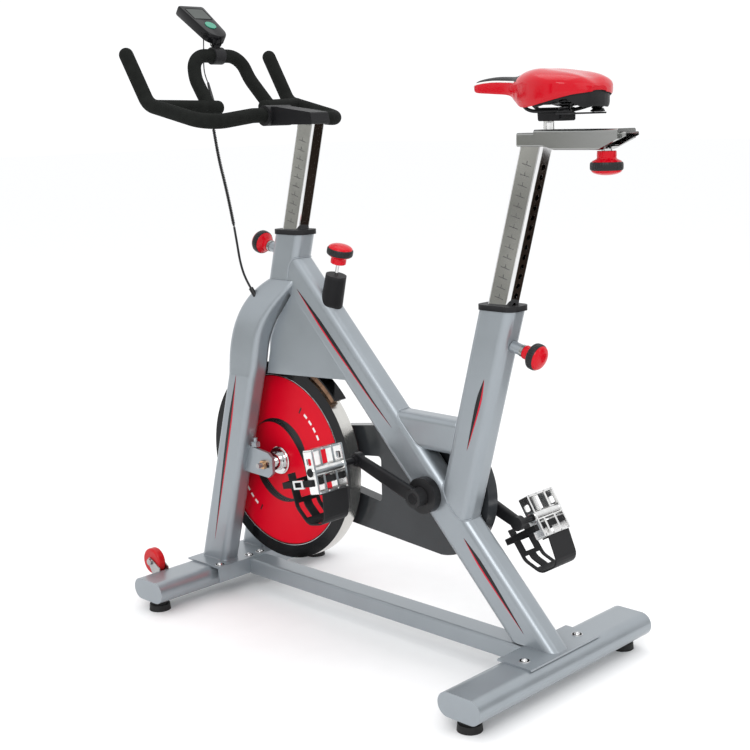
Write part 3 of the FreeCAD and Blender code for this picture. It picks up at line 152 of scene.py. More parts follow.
PAINT = material("silver_paint", (0.30, 0.330, 0.355), 0.34, metallic=0.6, mottle=0.03, grain=0.05,
                 grain_scale=1600, coat=0.2)
PLASTIC = material("black_plastic", (0.010, 0.010, 0.011), 0.45, mottle=0.2, grain=0.25, gleam=0.12,
                   wear=0.2)
GLOSS = material("black_gloss", (0.006, 0.006, 0.007), 0.14, mottle=0.15, grain=0.03, gleam=0.16)
FOAM = material("grip_foam", (0.010, 0.011, 0.010), 0.8, mottle=0.25, mottle_scale=60, grain=0.7,
                grain_scale=1100, gleam=0.08)
CHROME = material("chrome", (0.66, 0.66, 0.66), 0.07, metallic=1.0, mottle=0.05, mottle_scale=9,
                  grain=0.02, grain_scale=300)
DARK_CHROME = material("smoked_chrome", (0.022, 0.022, 0.023), 0.14, metallic=0.9, mottle=0.1,
                       grain=0.02)
STEEL = material("steel", (0.40, 0.40, 0.40), 0.3, metallic=1.0, mottle=0.15, mottle_scale=40,
                 grain=0.15)
RIM_STEEL = material("rim_steel", (0.66, 0.65, 0.62), 0.22, metallic=1.0, mottle=0.1, grain=0.2,
                     grain_scale=500, stretch=(0.05, 1, 0.05))
COPPER = material("copper_nut", (0.56, 0.33, 0.18), 0.25, metallic=1.0, mottle=0.15, grain=0.1)
ALLOY = material("alloy", (0.78, 0.78, 0.77), 0.19, metallic=1.0, mottle=0.1, mottle_scale=50,
                 grain=0.18, grain_scale=500, wear=0.4)
SATIN_ALLOY = material("satin_alloy", (0.34, 0.345, 0.335), 0.2, metallic=1.0, mottle=0.06, grain=0.06,
                       stretch=(0.1, 1, 1))
RED = material("knob_red", (0.54, 0.001, 0.010), 0.2, mottle=0.05, grain=0.04, gleam=0.25)
WHEEL_RED = material("wheel_red", (0.50, 0.006, 0.01), 0.3, mottle=0.1, grain=0.12, gleam=0.3,
                     wear=0.25)
COVER_RED = material("cover_red", (0.60, 0.001, 0.014), 0.3, mottle=0.05, mottle_scale=6, grain=0.02,
                     grain_scale=500, gleam=0.12)
KNOB_RING = material("knob_ring", (0.010, 0.010, 0.011), 0.4, mottle=0.2, grain=0.2, gleam=0.3)
RUBBER = material("foot_rubber", (0.012, 0.012, 0.012), 0.6, mottle=0.3, mottle_scale=80, grain=0.4,
                  gleam=0.3)
LEATHER = material("pad_leather", (0.18, 0.095, 0.05), 0.7, mottle=0.3, mottle_scale=90, grain=0.7,
                   grain_scale=700, cells=True)
VINYL_RED = material("red_vinyl", (0.50, 0.001, 0.010), 0.17, mottle=0.04, grain=0.03, grain_scale=1300,
                     cells=True, gleam=0.26)
VINYL_BLACK = material("black_vinyl", (0.010, 0.010, 0.011), 0.42, mottle=0.12, grain=0.35,
                       grain_scale=1300, cells=True, gleam=0.15)
PIPING = material("white_piping", (0.80, 0.79, 0.77), 0.4, mottle=0.06, mottle_scale=90, grain=0.15)
CORD = material("cord_jacket", (0.008, 0.008, 0.009), 0.35, mottle=0.15, grain=0.1, gleam=0.35)
LEAD_GREY = material("lead_jacket", (0.06, 0.06, 0.065), 0.35, mottle=0.15, grain=0.1)
GUARD = material("guard_plastic", (0.022, 0.025, 0.028), 0.17, mottle=0.12, mottle_scale=20, grain=0.10,
                 grain_scale=500, gleam=0.35, wear=0.2)
CRANK_BLACK = material("crank_black", (0.010, 0.010, 0.011), 0.33, mottle=0.15, grain=0.12, gleam=0.2,
                       wear=0.2)
GREEN = material("button_green", (0.014, 0.26, 0.16), 0.22, mottle=0.1, grain=0.06, coat=0.2)
STRAP = material("strap_web", (0.010, 0.010, 0.011), 0.7, mottle=0.2, grain=0.9, grain_scale=420,
                 cells=True, gleam=0.25)
LCD = material("lcd_glass", (0.030, 0.038, 0.033), 0.06, mottle=0.15, mottle_scale=30, grain=0.02,
               gleam=0.4)
DECAL_BLACK = material("decal_black", (0.008, 0.008, 0.009), 0.28, mottle=0.1, grain=0.03, gleam=0.3)
DECAL_RED = material("decal_red", (0.55, 0.006, 0.03), 0.28, mottle=0.05, grain=0.03, gleam=0.3)
DECAL_WHITE = material("decal_white", (0.78, 0.74, 0.74), 0.3, mottle=0.05, grain=0.03)
SCALE_MARK = material("scale_mark", (0.03, 0.03, 0.032), 0.5, mottle=0.2, grain=0.1)
BOARD_DARK = material("board_dark", (0.020, 0.014, 0.011), 0.9, mottle=0.4, mottle_scale=2, grain=0.0,
                      gleam=0.0)
BOARD_GREY = material("board_grey", (0.36, 0.36, 0.33), 0.9, mottle=0.45, mottle_scale=2.2, grain=0.0,
                      gleam=0.0)

SLOT_LOOKS = {
    "frame_paint": PAINT, "black_plastic": PLASTIC, "black_gloss": GLOSS, "grip_foam": FOAM,
    "chrome": CHROME, "steel": STEEL, "alloy": ALLOY, "knob_red": RED, "wheel_red": WHEEL_RED,
    "cover_red": COVER_RED, "foot_rubber": RUBBER, "pad_leather": LEATHER, "saddle_skin": VINYL_RED,
    "cord_black": CORD, "guard_grey": GUARD, "crank_black": CRANK_BLACK, "button_green": GREEN,
}


def paint_frame():
    """Every CAD node takes the look of its record slot."""
    for part in frame["record"]["subparts"]:
        data = frame["nodes"][part["node"]].data
        data.materials.clear()
        data.materials.append(SLOT_LOOKS[part["material_slot"]])


def repaint(node, look, test):
    """Give another look to the faces of a CAD node whose middle passes a test."""
    data = frame["nodes"][node].data
    data.materials.append(look)
    index = len(data.materials) - 1
    for face in data.polygons:
        if test(face.center / MM - Vector((BRACKET_X, 0, 0)), face.normal):
            face.material_index = index


# ---- building pieces ---------------------------------------------
RIBBED_BAND = 1.2       # a ribbed piece is notched where its radius is within this of the widest


def piece(name, points, faces, body, look, sharp=35.0):
    """A mesh piece, already in place, that rides on a body, or on none yet if it is to be blended."""
    mesh = bpy.data.meshes.new(name)
    mesh.from_pydata([tuple(point) for point in points], [], faces)
    mesh.validate()
    mesh.materials.append(look)
    mesh.polygons.foreach_set("use_smooth", [True] * len(mesh.polygons))
    mesh.set_sharp_from_angle(angle=math.radians(sharp))
    made = bpy.data.objects.new(name, mesh)
    bpy.context.scene.collection.objects.link(made)
    if body:
        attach(made, body)
    return made


def grid_faces(rows, columns, around=True):
    """Faces of a grid of points, closed round its columns or open."""
    faces = []
    for row in range(rows - 1):
        for column in range(columns if around else columns - 1):
            after = (column + 1) % columns
            faces.append((row * columns + column, row * columns + after,
                          (row + 1) * columns + after, (row + 1) * columns + column))
    return faces


def end_faces(rows, columns):
    """The two faces that close the first and last row of a grid of points."""
    return [tuple(range(columns))[::-1], tuple(range((rows - 1) * columns, rows * columns))]


def side_axes(direction):
    """Two unit vectors square to a direction."""
    first = direction.orthogonal().normalized()
    return first, direction.cross(first).normalized()


def lathe(name, profile, start, axis, body, look, sides=64, ribs=0, rib_depth=0.0):
    """A turned piece from (height, radius) pairs in millimetres; ribs notch its widest part."""
    first, second = side_axes(axis)
    widest = max(radius for height, radius in profile)
    points = []
    for height, radius in profile:
        for step in range(sides):
            angle = 2 * math.pi * step / sides
            notch = 0
            if ribs and radius > widest - RIBBED_BAND:
                notch = rib_depth * (0.5 + 0.5 * math.cos(ribs * angle))
            arm = first * math.cos(angle) + second * math.sin(angle)
            points.append(start + axis * (height * MM) + arm * ((radius - notch) * MM))
    faces = grid_faces(len(profile), sides) + end_faces(len(profile), sides)
    return piece(name, points, faces, body, look)


def tube(name, path, radius, body, look, sides=12, closed=False):
    """A round tube in metres along a list of points, with an even frame along it."""
    count = len(path)
    points = []
    side = None
    for index, point in enumerate(path):
        if closed:
            along = path[(index + 1) % count] - path[index - 1]
        else:
            along = path[min(index + 1, count - 1)] - path[max(index - 1, 0)]
        along.normalize()
        side = along.orthogonal() if side is None else side - along * side.dot(along)
        side.normalize()
        other = along.cross(side)
        for step in range(sides):
            angle = 2 * math.pi * step / sides
            points.append(point + (side * math.cos(angle) + other * math.sin(angle)) * radius)
    rows = count + 1 if closed else count
    faces = [tuple(i % len(points) for i in face) for face in grid_faces(rows, sides)]
    if not closed:
        faces += end_faces(count, sides)
    return piece(name, points, faces, body, look)


def plate(name, outline, thickness, normal, body, look):
    """A flat plate from a closed outline of points, raised along its normal."""
    count = len(outline)
    points = list(outline) + [point + normal * thickness for point in outline]
    faces = [tuple(range(count))[::-1], tuple(range(count, 2 * count))]
    for index in range(count):
        after = (index + 1) % count
        faces.append((index, after, count + after, count + index))
    return piece(name, points, faces, body, look)


def ribbon(name, lower, upper, body, look, thickness, normal):
    """A thin strip between two edges of as many points."""
    points = []
    for raise_by in (0.0, thickness):
        for one, other in zip(lower, upper):
            points += [one + normal * raise_by, other + normal * raise_by]
    half = 2 * len(lower)
    faces = []
    for index in range(len(lower) - 1):
        a = 2 * index
        faces += [(a, a + 2, a + 3, a + 1), (half + a, half + a + 1, half + a + 3, half + a + 2),
                  (a, half + a, half + a + 2, a + 2), (a + 1, a + 3, half + a + 3, half + a + 1)]
    faces += [(0, 1, half + 1, half), (half - 2, 2 * half - 2, 2 * half - 1, half - 1)]
    return piece(name, points, faces, body, look)


def spline_points(route):
    """Points read along the NURBS spline of a route."""
    curve = bpy.data.curves.new("route", "CURVE")
    curve.dimensions = "3D"
    curve.resolution_u = 24
    spline = curve.splines.new("NURBS")
    spline.points.add(len(route) - 1)
    for control, place in zip(spline.points, route):
        control.co = (*place, 1.0)
    spline.order_u = 3
    spline.use_endpoint_u = True
    guide = bpy.data.objects.new("route_guide", curve)
    bpy.context.scene.collection.objects.link(guide)
    bpy.context.view_layer.update()
    mesh = bpy.data.meshes.new_from_object(guide)
    points = [vertex.co.copy() for vertex in mesh.vertices]
    bpy.data.objects.remove(guide)
    return points


def along_path(path, step):
    """The path read again at even steps."""
    marks = [0.0]
    for before, after in zip(path, path[1:]):
        marks.append(marks[-1] + (after - before).length)
    count = max(2, round(marks[-1] / step))
    made = []
    segment = 0
    for index in range(count + 1):
        distance = marks[-1] * index / count
        while segment < len(path) - 2 and marks[segment + 1] < distance:
            segment += 1
        span = marks[segment + 1] - marks[segment]
        share = (distance - marks[segment]) / span
        made.append(path[segment].lerp(path[segment + 1], share))
    return made


# ---- cords -------------------------------------------------------
LEAD_ROUTE = [at(699.6, 10, 1348.4), at(699, 12, 1316), at(690, 22, 1282), at(668, 38, 1254),
              at(642, 50, 1235)]
COIL_ROUTE = [at(598, 77, 1136), at(589, 74.5, 1070), at(572, 71, 1004), at(560.5, 68.5, 950),
              at(552, 67, 906)]
TAIL_ROUTE = [at(552, 67, 906), at(546, 65.5, 868), at(541, 63.5, 826), at(530, 60, 788),
              at(516, 55.5, 765)]
WIRE_RADIUS = 1.5 * MM
TAIL_RADIUS = 2.7 * MM
COIL_RADIUS = 2.7 * MM          # middle of the wire, from the middle of the coil
COIL_PITCH = 3.9 * MM
TURN_STEPS = 16
CORD_STEP = 3 * MM


def curly_path():
    """The line of the wire in the coil, with a straight start at both ends."""
    middle = along_path(spline_points(COIL_ROUTE), COIL_PITCH / TURN_STEPS)
    fade = 2 * TURN_STEPS
    path = []
    for index, point in enumerate(middle):
        along = (middle[min(index + 1, len(middle) - 1)] - middle[max(index - 1, 0)]).normalized()
        side = (ACROSS - along * ACROSS.dot(along)).normalized()
        other = along.cross(side)
        open_by = min(1.0, index / fade, (len(middle) - 1 - index) / fade)
        angle = 2 * math.pi * index / TURN_STEPS
        out = side * math.cos(angle) + other * math.sin(angle)
        path.append(point + out * (COIL_RADIUS * open_by))
    return path


def cords():
    """The console's lead, the curly cord and its tail."""
    lead_path = along_path(spline_points(LEAD_ROUTE), CORD_STEP)
    lead = tube("console_wire", lead_path, 1.5 * MM, None, LEAD_GREY, sides=14)
    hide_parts("console_lead")
    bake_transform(lead)
    path = curly_path()
    curl = tube("curly_wire", path, WIRE_RADIUS, None, CORD, sides=8)
    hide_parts("curly_cord")
    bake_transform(curl)
    tail_path = along_path(spline_points(TAIL_ROUTE), CORD_STEP)
    tail = tube("cord_end", tail_path, TAIL_RADIUS, "frame", CORD, sides=18)
    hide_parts("cord_tail")


# ---- saddle ------------------------------------------------------
# x, half width, top, height of the widest point, bottom of the skirt
SADDLE_RIBS = [
    (-124.5, 5, 1201, 1199, 1197), (-127, 12, 1206, 1200, 1194), (-140, 19, 1213.5, 1203, 1189),
    (-180, 24, 1218, 1205, 1186), (-226, 31, 1217, 1203, 1182), (-250, 45, 1221, 1200, 1171),
    (-276, 63, 1229, 1200, 1160), (-306, 78, 1232, 1200, 1160), (-340, 86.5, 1228, 1199, 1166),
    (-372, 84, 1222, 1198, 1173), (-394, 69, 1214, 1196, 1179), (-406, 46, 1204, 1192, 1182),
    (-411, 24, 1196, 1189, 1184)]
SADDLE_STEPS = 96
CROWN_STEPS = 36            # from one side of a rib, over the top, to the other
SKIRT_POINTS = 8            # on each side, below the crown
PANEL_ANGLE = 18.0          # the black nose panel starts this far up the side
PANEL_REAR_X = -256.0
PANEL_SWELL = 10.0          # its rear edge is curved by this much
CHANNEL_X = -268.0          # the dip between the two halves of the seat starts here,
CHANNEL_RUN = 60.0          # is full this far behind,
CHANNEL_DEPTH = 5.0         # and is this deep
BUMPER_FRONT_X = -318.0
BUMPER_MIDDLE_X = -330.0    # middle of the curve that the rim follows
BUMPER_WALL = 3.2
BUMPER_OVERLAP = 3.0        # how far the rim reaches up inside the skirt
SPRING_X, SPRING_Y = -372, 52


def smooth_ribs(count):
    """Ribs at even steps, from a smooth curve through the given ones."""
    made = []
    last = len(SADDLE_RIBS) - 1
    for index in range(count + 1):
        place = last * index / count
        low = min(int(place), last - 1)
        t = place - low
        around = [SADDLE_RIBS[max(0, min(last, low + k))] for k in (-1, 0, 1, 2)]
        rib = []
        for a, b, c, d in zip(*around):
            bend = 2 * a - 5 * b + 4 * c - d + t * (3 * (b - c) + d - a)
            rib.append(b + 0.5 * t * (c - a + t * bend))
        made.append(rib)
    return made


def saddle_point(rib, degrees):
    """A point on the cover: 0 is the widest point of the left side, 90 the top, 180 the right side."""
    x, half, top, middle, _ = rib
    c, s = math.cos(math.radians(degrees)), math.sin(math.radians(degrees))
    y = half * math.copysign(abs(c) ** 0.86, c)
    rear = min(1.0, max(0.0, (CHANNEL_X - x) / CHANNEL_RUN))
    across = max(0.0, 1 - (1.6 * y / half) ** 2) ** 2
    dip = CHANNEL_DEPTH * rear * across * min(1.0, (top - middle) / 20)
    return at(x, y, middle + (top - middle) * abs(s) ** 0.92 - dip)


def saddle_ring(rib):
    """One closed section: crown, skirt, the skirt's inside and the base."""
    x, half, _, middle, bottom = rib
    base = min(bottom + 9, middle - 3)
    crown = [saddle_point(rib, 180 * step / CROWN_STEPS) for step in range(CROWN_STEPS + 1)]
    shape = [(1.0, 0.6), (0.99, 0.3), (0.965, 0.1), (0.93, 0.0), (0.895, 0.04)]
    skirt = [(half * share, bottom + (middle - bottom) * rise) for share, rise in shape]
    skirt += [(half * 0.87, bottom + (base - bottom) * 0.6), (half * 0.80, base),
              (half * 0.4, base + 1)]
    left = [at(x, y, z) for y, z in reversed(skirt)]
    right = [at(x, -y, z) for y, z in skirt]
    return left + crown + right


def saddle_cover():
    """Red cover with a black nose panel and a plastic inside; gives back the ribs it is made of."""
    ribs = smooth_ribs(SADDLE_STEPS)
    points = []
    for rib in ribs:
        points += saddle_ring(rib)
    columns = len(points) // len(ribs)
    faces = grid_faces(len(ribs), columns)
    faces.append(tuple(range(columns)))
    faces.append(tuple(range((len(ribs) - 1) * columns, len(ribs) * columns))[::-1])
    cover = piece("saddle_cover", points, faces, "saddle", VINYL_RED, sharp=50.0)
    cover.data.materials.append(VINYL_BLACK)
    cover.data.materials.append(PLASTIC)
    lowest, highest = CROWN_STEPS * PANEL_ANGLE / 180, CROWN_STEPS * (1 - PANEL_ANGLE / 180)
    for index, face in enumerate(cover.data.polygons):
        if index >= (len(ribs) - 1) * columns:
            continue
        column = index % columns - SKIRT_POINTS
        x = face.center.x / MM - BRACKET_X
        swell = PANEL_SWELL * math.cos(math.pi * (column - CROWN_STEPS / 2) / CROWN_STEPS)
        if lowest - 0.5 < column + 0.5 < highest and x > PANEL_REAR_X - swell:
            face.material_index = 1
        elif column < -4 or column > CROWN_STEPS + 3:
            face.material_index = 2
    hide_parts("saddle")
    return ribs


def saddle_piping(ribs):
    """White piping round the nose, where the black panel meets the red sides."""
    nose = [rib for rib in ribs if rib[0] > PANEL_REAR_X + 4]
    left = [saddle_point(rib, PANEL_ANGLE - 2) for rib in nose]
    right = [saddle_point(rib, 182 - PANEL_ANGLE) for rib in nose]
    tube("saddle_piping", left[::-1] + right[1:], 1.7 * MM, "saddle", PIPING, sides=12)


def saddle_base(ribs):
    """Plastic shell that closes the underside of the cover."""
    inside = [rib for rib in ribs if -395 < rib[0] < -150]
    points = []
    floor = ((1.0, 0), (0.7, 1.6), (0.2, 2.2), (-0.2, 2.2), (-0.7, 1.6), (-1.0, 0))
    for x, half, _, middle, bottom in inside:
        y = half * 0.74
        low = min(bottom + 6, middle - 6)
        points += [at(x, y * share, low - drop) for share, drop in floor]
        points += [at(x, -y, low + 5), at(x, y, low + 5)]
    faces = grid_faces(len(inside), 8) + end_faces(len(inside), 8)
    piece("saddle_shell", points, faces, "saddle", PLASTIC)


def saddle_bumper(ribs):
    """Black rim under the rear of the cover, deepest at the back."""
    middle = BUMPER_MIDDLE_X
    plan = [(middle + (x - middle) * 0.96, half * 0.90, bottom)
            for x, half, _, _, bottom in ribs if x < BUMPER_FRONT_X]
    plan += [(x, -y, bottom) for x, y, bottom in reversed(plan)]
    points = []
    for x, y, bottom in plan:
        depth = 7 + 22 * min(1.0, max(0.0, (-384 - x) / 20))
        inward = 1 - BUMPER_WALL / math.hypot(x - middle, y)
        inner_x, inner_y = middle + (x - middle) * inward, y * inward
        top = bottom + BUMPER_OVERLAP
        points += [at(x, y, top), at(x, y, top - depth * 0.85), at(x, y * 0.985, top - depth),
                   at(inner_x, inner_y, top - depth), at(inner_x, inner_y, top)]
    faces = grid_faces(len(plan), 5) + end_faces(len(plan), 5)
    piece("saddle_bumper", points, faces, "saddle", PLASTIC, sharp=45.0)


def saddle_springs():
    """Rails, coil springs in their cups, and the plate that carries the springs."""
    for side, label in SIDES:
        route = [at(-238, side * 12, 1184), at(-244, side * 15, 1168), at(-264, side * 17, 1151),
                 at(-310, side * 17, 1152), at(-352, side * 18, 1152), at(-384, side * 38, 1166)]
        rail = tube("saddle_rail_" + label, along_path(spline_points(route), 4 * MM), 3.5 * MM,
                    "saddle", CRANK_BLACK, sides=16)
        if side > 0:
            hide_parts("saddle_rails")
        turns, steps, reach, low, tall = 4.5, 24, 10.2, 1149.5, 26.0
        helix = []
        for step in range(int(turns * steps) + 1):
            angle = 2 * math.pi * step / steps
            helix.append(at(SPRING_X + reach * math.cos(angle),
                            side * SPRING_Y + reach * math.sin(angle),
                            low + tall * step / (turns * steps)))
        tube("saddle_spring_" + label, helix, 2.0 * MM, "saddle", DARK_CHROME, sides=10)
        lathe("spring_cup_" + label, [(0, 8), (0.6, 13.5), (3.2, 13.5), (4.0, 11), (9, 7)],
              at(SPRING_X, side * SPRING_Y, 1148), UP, "saddle", PLASTIC)
    outline = [(-386, -60), (-381, -66), (-363, -66), (-358, -60), (-364, -30), (-364, 30), (-358, 60),
               (-363, 66), (-381, 66), (-386, 60), (-380, 30), (-380, -30)]
    plate("spring_plate", [at(x, y, 1144.5) for x, y in outline], 3.2 * MM, UP, "saddle", PLASTIC)


# ---- knobs -------------------------------------------------------
def knob(name, body, start, axis, radius, neck):
    """Red neck and domed cap with a ribbed black band; `start` is where the neck begins."""
    red = [(0, neck), (0.8, neck + 0.8), (9, neck + 1), (12, neck + 0.6), (14.5, radius * 0.62),
           (18, radius * 0.86), (22.0, radius * 0.95)]
    lathe(name + "_neck", red, start, axis, body, RED)
    band = [(19.0, radius * 0.80), (20.2, radius * 0.945), (22, radius * 0.985), (25, radius),
            (31, radius), (33.5, radius * 0.985), (35.2, radius * 0.93), (36, radius * 0.8)]
    lathe(name + "_band", band, start, axis, body, KNOB_RING, sides=144, ribs=36,
          rib_depth=0.7)
    cap = [(34.0, radius * 0.9)]
    for step in range(10):
        angle = math.radians(9 * step)
        cap.append((35.0 + 9.3 * math.sin(angle), radius * 0.91 * math.cos(angle) + 0.3))
    return lathe(name + "_cap", cap, start, axis, body, RED)


PULL_BOSS = 33.0            # length of the welded boss behind each pull knob
TUBE_HALF = 43.0            # from the middle line of a leaning tube to the face that the boss is on


def knobs():
    places = (("head_knob", HEAD_AXIS, 840, LEAN_FRONT), ("seat_knob", SEAT_AXIS, 706, -LEAN_FRONT))
    for node, axis_point, z, outward in places:
        face = on_lean(axis_point, z) + outward * (TUBE_HALF * MM)
        pin = [(-16.5, 4.0), (-15.5, 5), (PULL_BOSS + 1.2, 5)]
        lathe(node + "_pin", pin, face, outward, node, STEEL)
        cap = knob(node, node, face + outward * ((PULL_BOSS + 0.5) * MM), outward, 27.2, 13.5)
        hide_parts(node)
        ring = [(25.5, 11.6), (26.2, 12.9), (PULL_BOSS - 0.6, 12.9), (PULL_BOSS - 0.1, 11.0)]
        lathe(node + "_boss_ring", ring, face, outward, "frame", SATIN_ALLOY)
    low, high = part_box("slider_knob")
    top = Vector(((low.x + high.x) / 2, 0, high.z))
    lathe("slider_screw", [(0.1, 4.9), (9, 4.9)], top, -UP, "slider_knob", CHROME)
    lathe("slider_screw_collar", [(3.0, 6), (3.6, 10.5), (7.2, 10.5), (8.0, 9)], top, -UP,
          "slider_knob", CHROME)
    cap = knob("slider_knob", "slider_knob", top - UP * (7.5 * MM), -UP, 30.6, 17.0)
    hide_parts("slider_knob")
    brake_top = at(273, 0, 857)
    cap = knob("brake_knob", "brake_knob", brake_top - LEAN_UP * (27 * MM), LEAN_UP, 29.6, 16.5)
    lathe("brake_rod", [(-287.6, 3.0), (-286.6, 4), (-26, 4)], brake_top, LEAN_UP, "brake_knob",
          CHROME)
    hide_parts("brake_knob")


# ---- graphics ----------------------------------------------------
DECAL = 0.25 * MM           # how thick the graphics are
LIFT = 0.05 * MM            # and how far clear of the face below
LEG_HALF, TUBE_SIDE = 90.0, 29.0    # y of the faces that carry the stripes
POST_HALF = 19.0            # half width of a post
MARK_STEP = 20.0
MARK_DEPTH = 0.08 * MM      # thin enough to slide inside the collars
RIM_RADIUS, RIM_Y = 207.5, 17.3     # bright line at the edge of the flywheel covers
FLANGE_Y = 17.6
STEEL_RADIUS = 232.0        # the flywheel's rim is bare steel from here out


def stripe(name, points, width, y, side, red_side):
    """Tapered stripe on a flat face: black with a red edge, on the side given by red_side (1 or -1)."""
    normal = Vector((0, side, 0))
    spine = along_path([at(x, side * y, z) + normal * LIFT for x, z in points], 6 * MM)
    count = len(spine) - 1
    low, mid, high = [], [], []
    for index, point in enumerate(spine):
        along = (spine[min(index + 1, count)] - spine[max(index - 1, 0)]).normalized()
        across = Vector((-along.z, 0, along.x)) * red_side
        t = index / count
        swell = width * MM * (min(1.0, t / 0.25) * min(1.0, (1 - t) / 0.6)) ** 0.8
        low.append(point - across * swell * 0.5)
        mid.append(point + across * swell * 0.22)
        high.append(point + across * swell * 0.5)
    ribbon(name + "_black", low, mid, "frame", DECAL_BLACK, DECAL, normal)
    ribbon(name + "_red", mid, high, "frame", DECAL_RED, DECAL, normal)


def stripes():
    for side, label in SIDES:
        for name, points, y, red_side in (
                ("leg_stripe_", [(543, 561), (600, 345), (654, 134)], LEG_HALF, -1),
                ("seat_stripe_", [(-159, 626), (-135, 548), (-111, 470)], TUBE_SIDE, -1),
                ("main_stripe_", [(387, 769), (270, 651), (155, 537), (100, 487)], TUBE_SIDE, 1),
                ("low_stripe_", [(-99, 280), (-178, 194), (-257, 107)], TUBE_SIDE, 1)):
            stripe(name + label, points, 13, y, side, red_side)


def post_marks(name, axis_point, low, high, body):
    """Height marks on both sides of a post: a long line with a short upright, and no figures."""
    for side, label in SIDES:
        normal = Vector((0, side, 0))
        points, faces = [], []
        height = low
        while height < high:
            middle = on_lean(axis_point, height) + normal * (POST_HALF * MM + LIFT)
            for half, rise, base in ((11.0, 0.55, 0.0), (0.55, 4.0, 4.0)):
                first = len(points)
                for depth in (0.0, MARK_DEPTH):
                    for u, v in ((-half, -rise), (half, -rise), (half, rise), (-half, rise)):
                        points.append(middle + LEAN_FRONT * (u * MM) + LEAN_UP * ((v + base) * MM)
                                      + normal * depth)
                faces += [tuple(first + k for k in face) for face in CUBOID_FACES]
            height += MARK_STEP
        piece("%s_marks_%s" % (name, label), points, faces, body, SCALE_MARK)


def crescent(name, start, end, outer, swell, y, look):
    """A curved blade round the hub, thin at both ends; outer is its radius at the start and the end."""
    side = math.copysign(1, y)
    normal = Vector((0, side, 0))
    steps = 48
    rim, inner = [], []
    for step in range(steps + 1):
        t = step / steps
        angle = math.radians(start + (end - start) * t)
        arm = Vector((-side * math.cos(angle), 0, math.sin(angle)))
        reach = outer[0] + (outer[1] - outer[0]) * t
        thick = swell * math.sin(math.pi * t ** 1.4) + 0.15
        middle = HUB + Vector((0, y * MM, 0)) + normal * LIFT
        rim.append(middle + arm * (reach * MM))
        inner.append(middle + arm * ((reach - thick) * MM))
    ribbon(name, inner, rim, "flywheel", look, DECAL, normal)


def blocks(name, start, step, count, radius, length, height, y, look):
    """A row of short bars set across a circle round the hub."""
    side = math.copysign(1, y)
    points, faces = [], []
    for number in range(count):
        angle = math.radians(start + step * number)
        arm = Vector((-side * math.cos(angle), 0, math.sin(angle)))
        along = Vector((side * math.sin(angle), 0, math.cos(angle)))
        first = len(points)
        for rise in (LIFT, LIFT + DECAL):
            for u, v in ((-1, -1), (1, -1), (1, 1), (-1, 1)):
                points.append(HUB + Vector((0, y * MM + side * rise, 0))
                              + arm * ((radius + v * height / 2) * MM)
                              + along * (u * length / 2 * MM))
        faces += [tuple(first + k for k in face) for face in CUBOID_FACES]
    piece(name, points, faces, "flywheel", look)


def flywheel_graphics():
    low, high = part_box("flywheel_covers")
    for y, label in ((high.y / MM, "left"), (low.y / MM, "right")):
        for turn in (0, 180):
            tag = "%s_%d" % (label, turn)
            crescent("swoosh_" + tag, 140 + turn, -14 + turn, (106, 92), 25.0, y, DECAL_BLACK)
            crescent("arc_white_" + tag, -75 + turn, -135 + turn, (100, 76), 1.4, y, DECAL_WHITE)
            blocks("dashes_" + tag, 52 + turn, -7.5, 4, 152, 12, 6, y, DECAL_WHITE)
            blocks("dash_dark_" + tag, 60 + turn, 0, 1, 152, 4, 16, y, DECAL_BLACK)
        ring_path = []
        for step in range(180):
            a = 2 * math.pi * step / 180
            ring_path.append(HUB + Vector((RIM_RADIUS * MM * math.cos(a), math.copysign(RIM_Y, y) * MM,
                                           RIM_RADIUS * MM * math.sin(a))))
        tube("flywheel_edge_" + label, ring_path, 0.8 * MM, "flywheel", CHROME, sides=8,
             closed=True)


def hub_flanges():
    """Stepped chrome flange on each side of the flywheel."""
    steps = [(-0.4, 33.5), (1.4, 33.5), (2.2, 32.6), (2.4, 28.0), (5.6, 27.4), (6.4, 26.5),
             (6.6, 22.5), (10.6, 22), (11.4, 21.2), (11.6, 17.4), (13.6, 17.0), (14.0, 15.0)]
    for side, label in SIDES:
        lathe("hub_flange_" + label, steps, HUB + ACROSS * (side * FLANGE_Y * MM), ACROSS * side,
              "flywheel", CHROME, sides=96)


def hub_reach(center):
    """How far a point is from the axle of the flywheel, in millimetres."""
    return math.hypot(center.x - (HUB.x / MM - BRACKET_X), center.z - HUB.z / MM)


def flywheel_looks():
    """Smoked faces and a steel rim; copper nuts and a black spacer on the axle."""
    repaint("flywheel_disc", DARK_CHROME,
            lambda center, normal: abs(normal.y) > 0.5 and hub_reach(center) < STEEL_RADIUS)
    repaint("flywheel_disc", RIM_STEEL, lambda center, normal: hub_reach(center) >= STEEL_RADIUS)
    repaint("flywheel_axle", COPPER,
            lambda center, normal: abs(center.y) > 66 and hub_reach(center) > 7)
    repaint("flywheel_axle", PLASTIC,
            lambda center, normal: 47.4 < center.y < 57.8 and hub_reach(center) > 7)
    repaint("flywheel_hub", CHROME, lambda center, normal: center.y > FLANGE_Y)


# ---- small parts -------------------------------------------------
CASE_MIDDLE = 58.0          # the case's slopes and bevels shrink towards here, up from the hinge
CASE_FACE = 25.0            # the front face, out from the hinge
BUTTON_U = 38.0             # middle of the button, up from the hinge


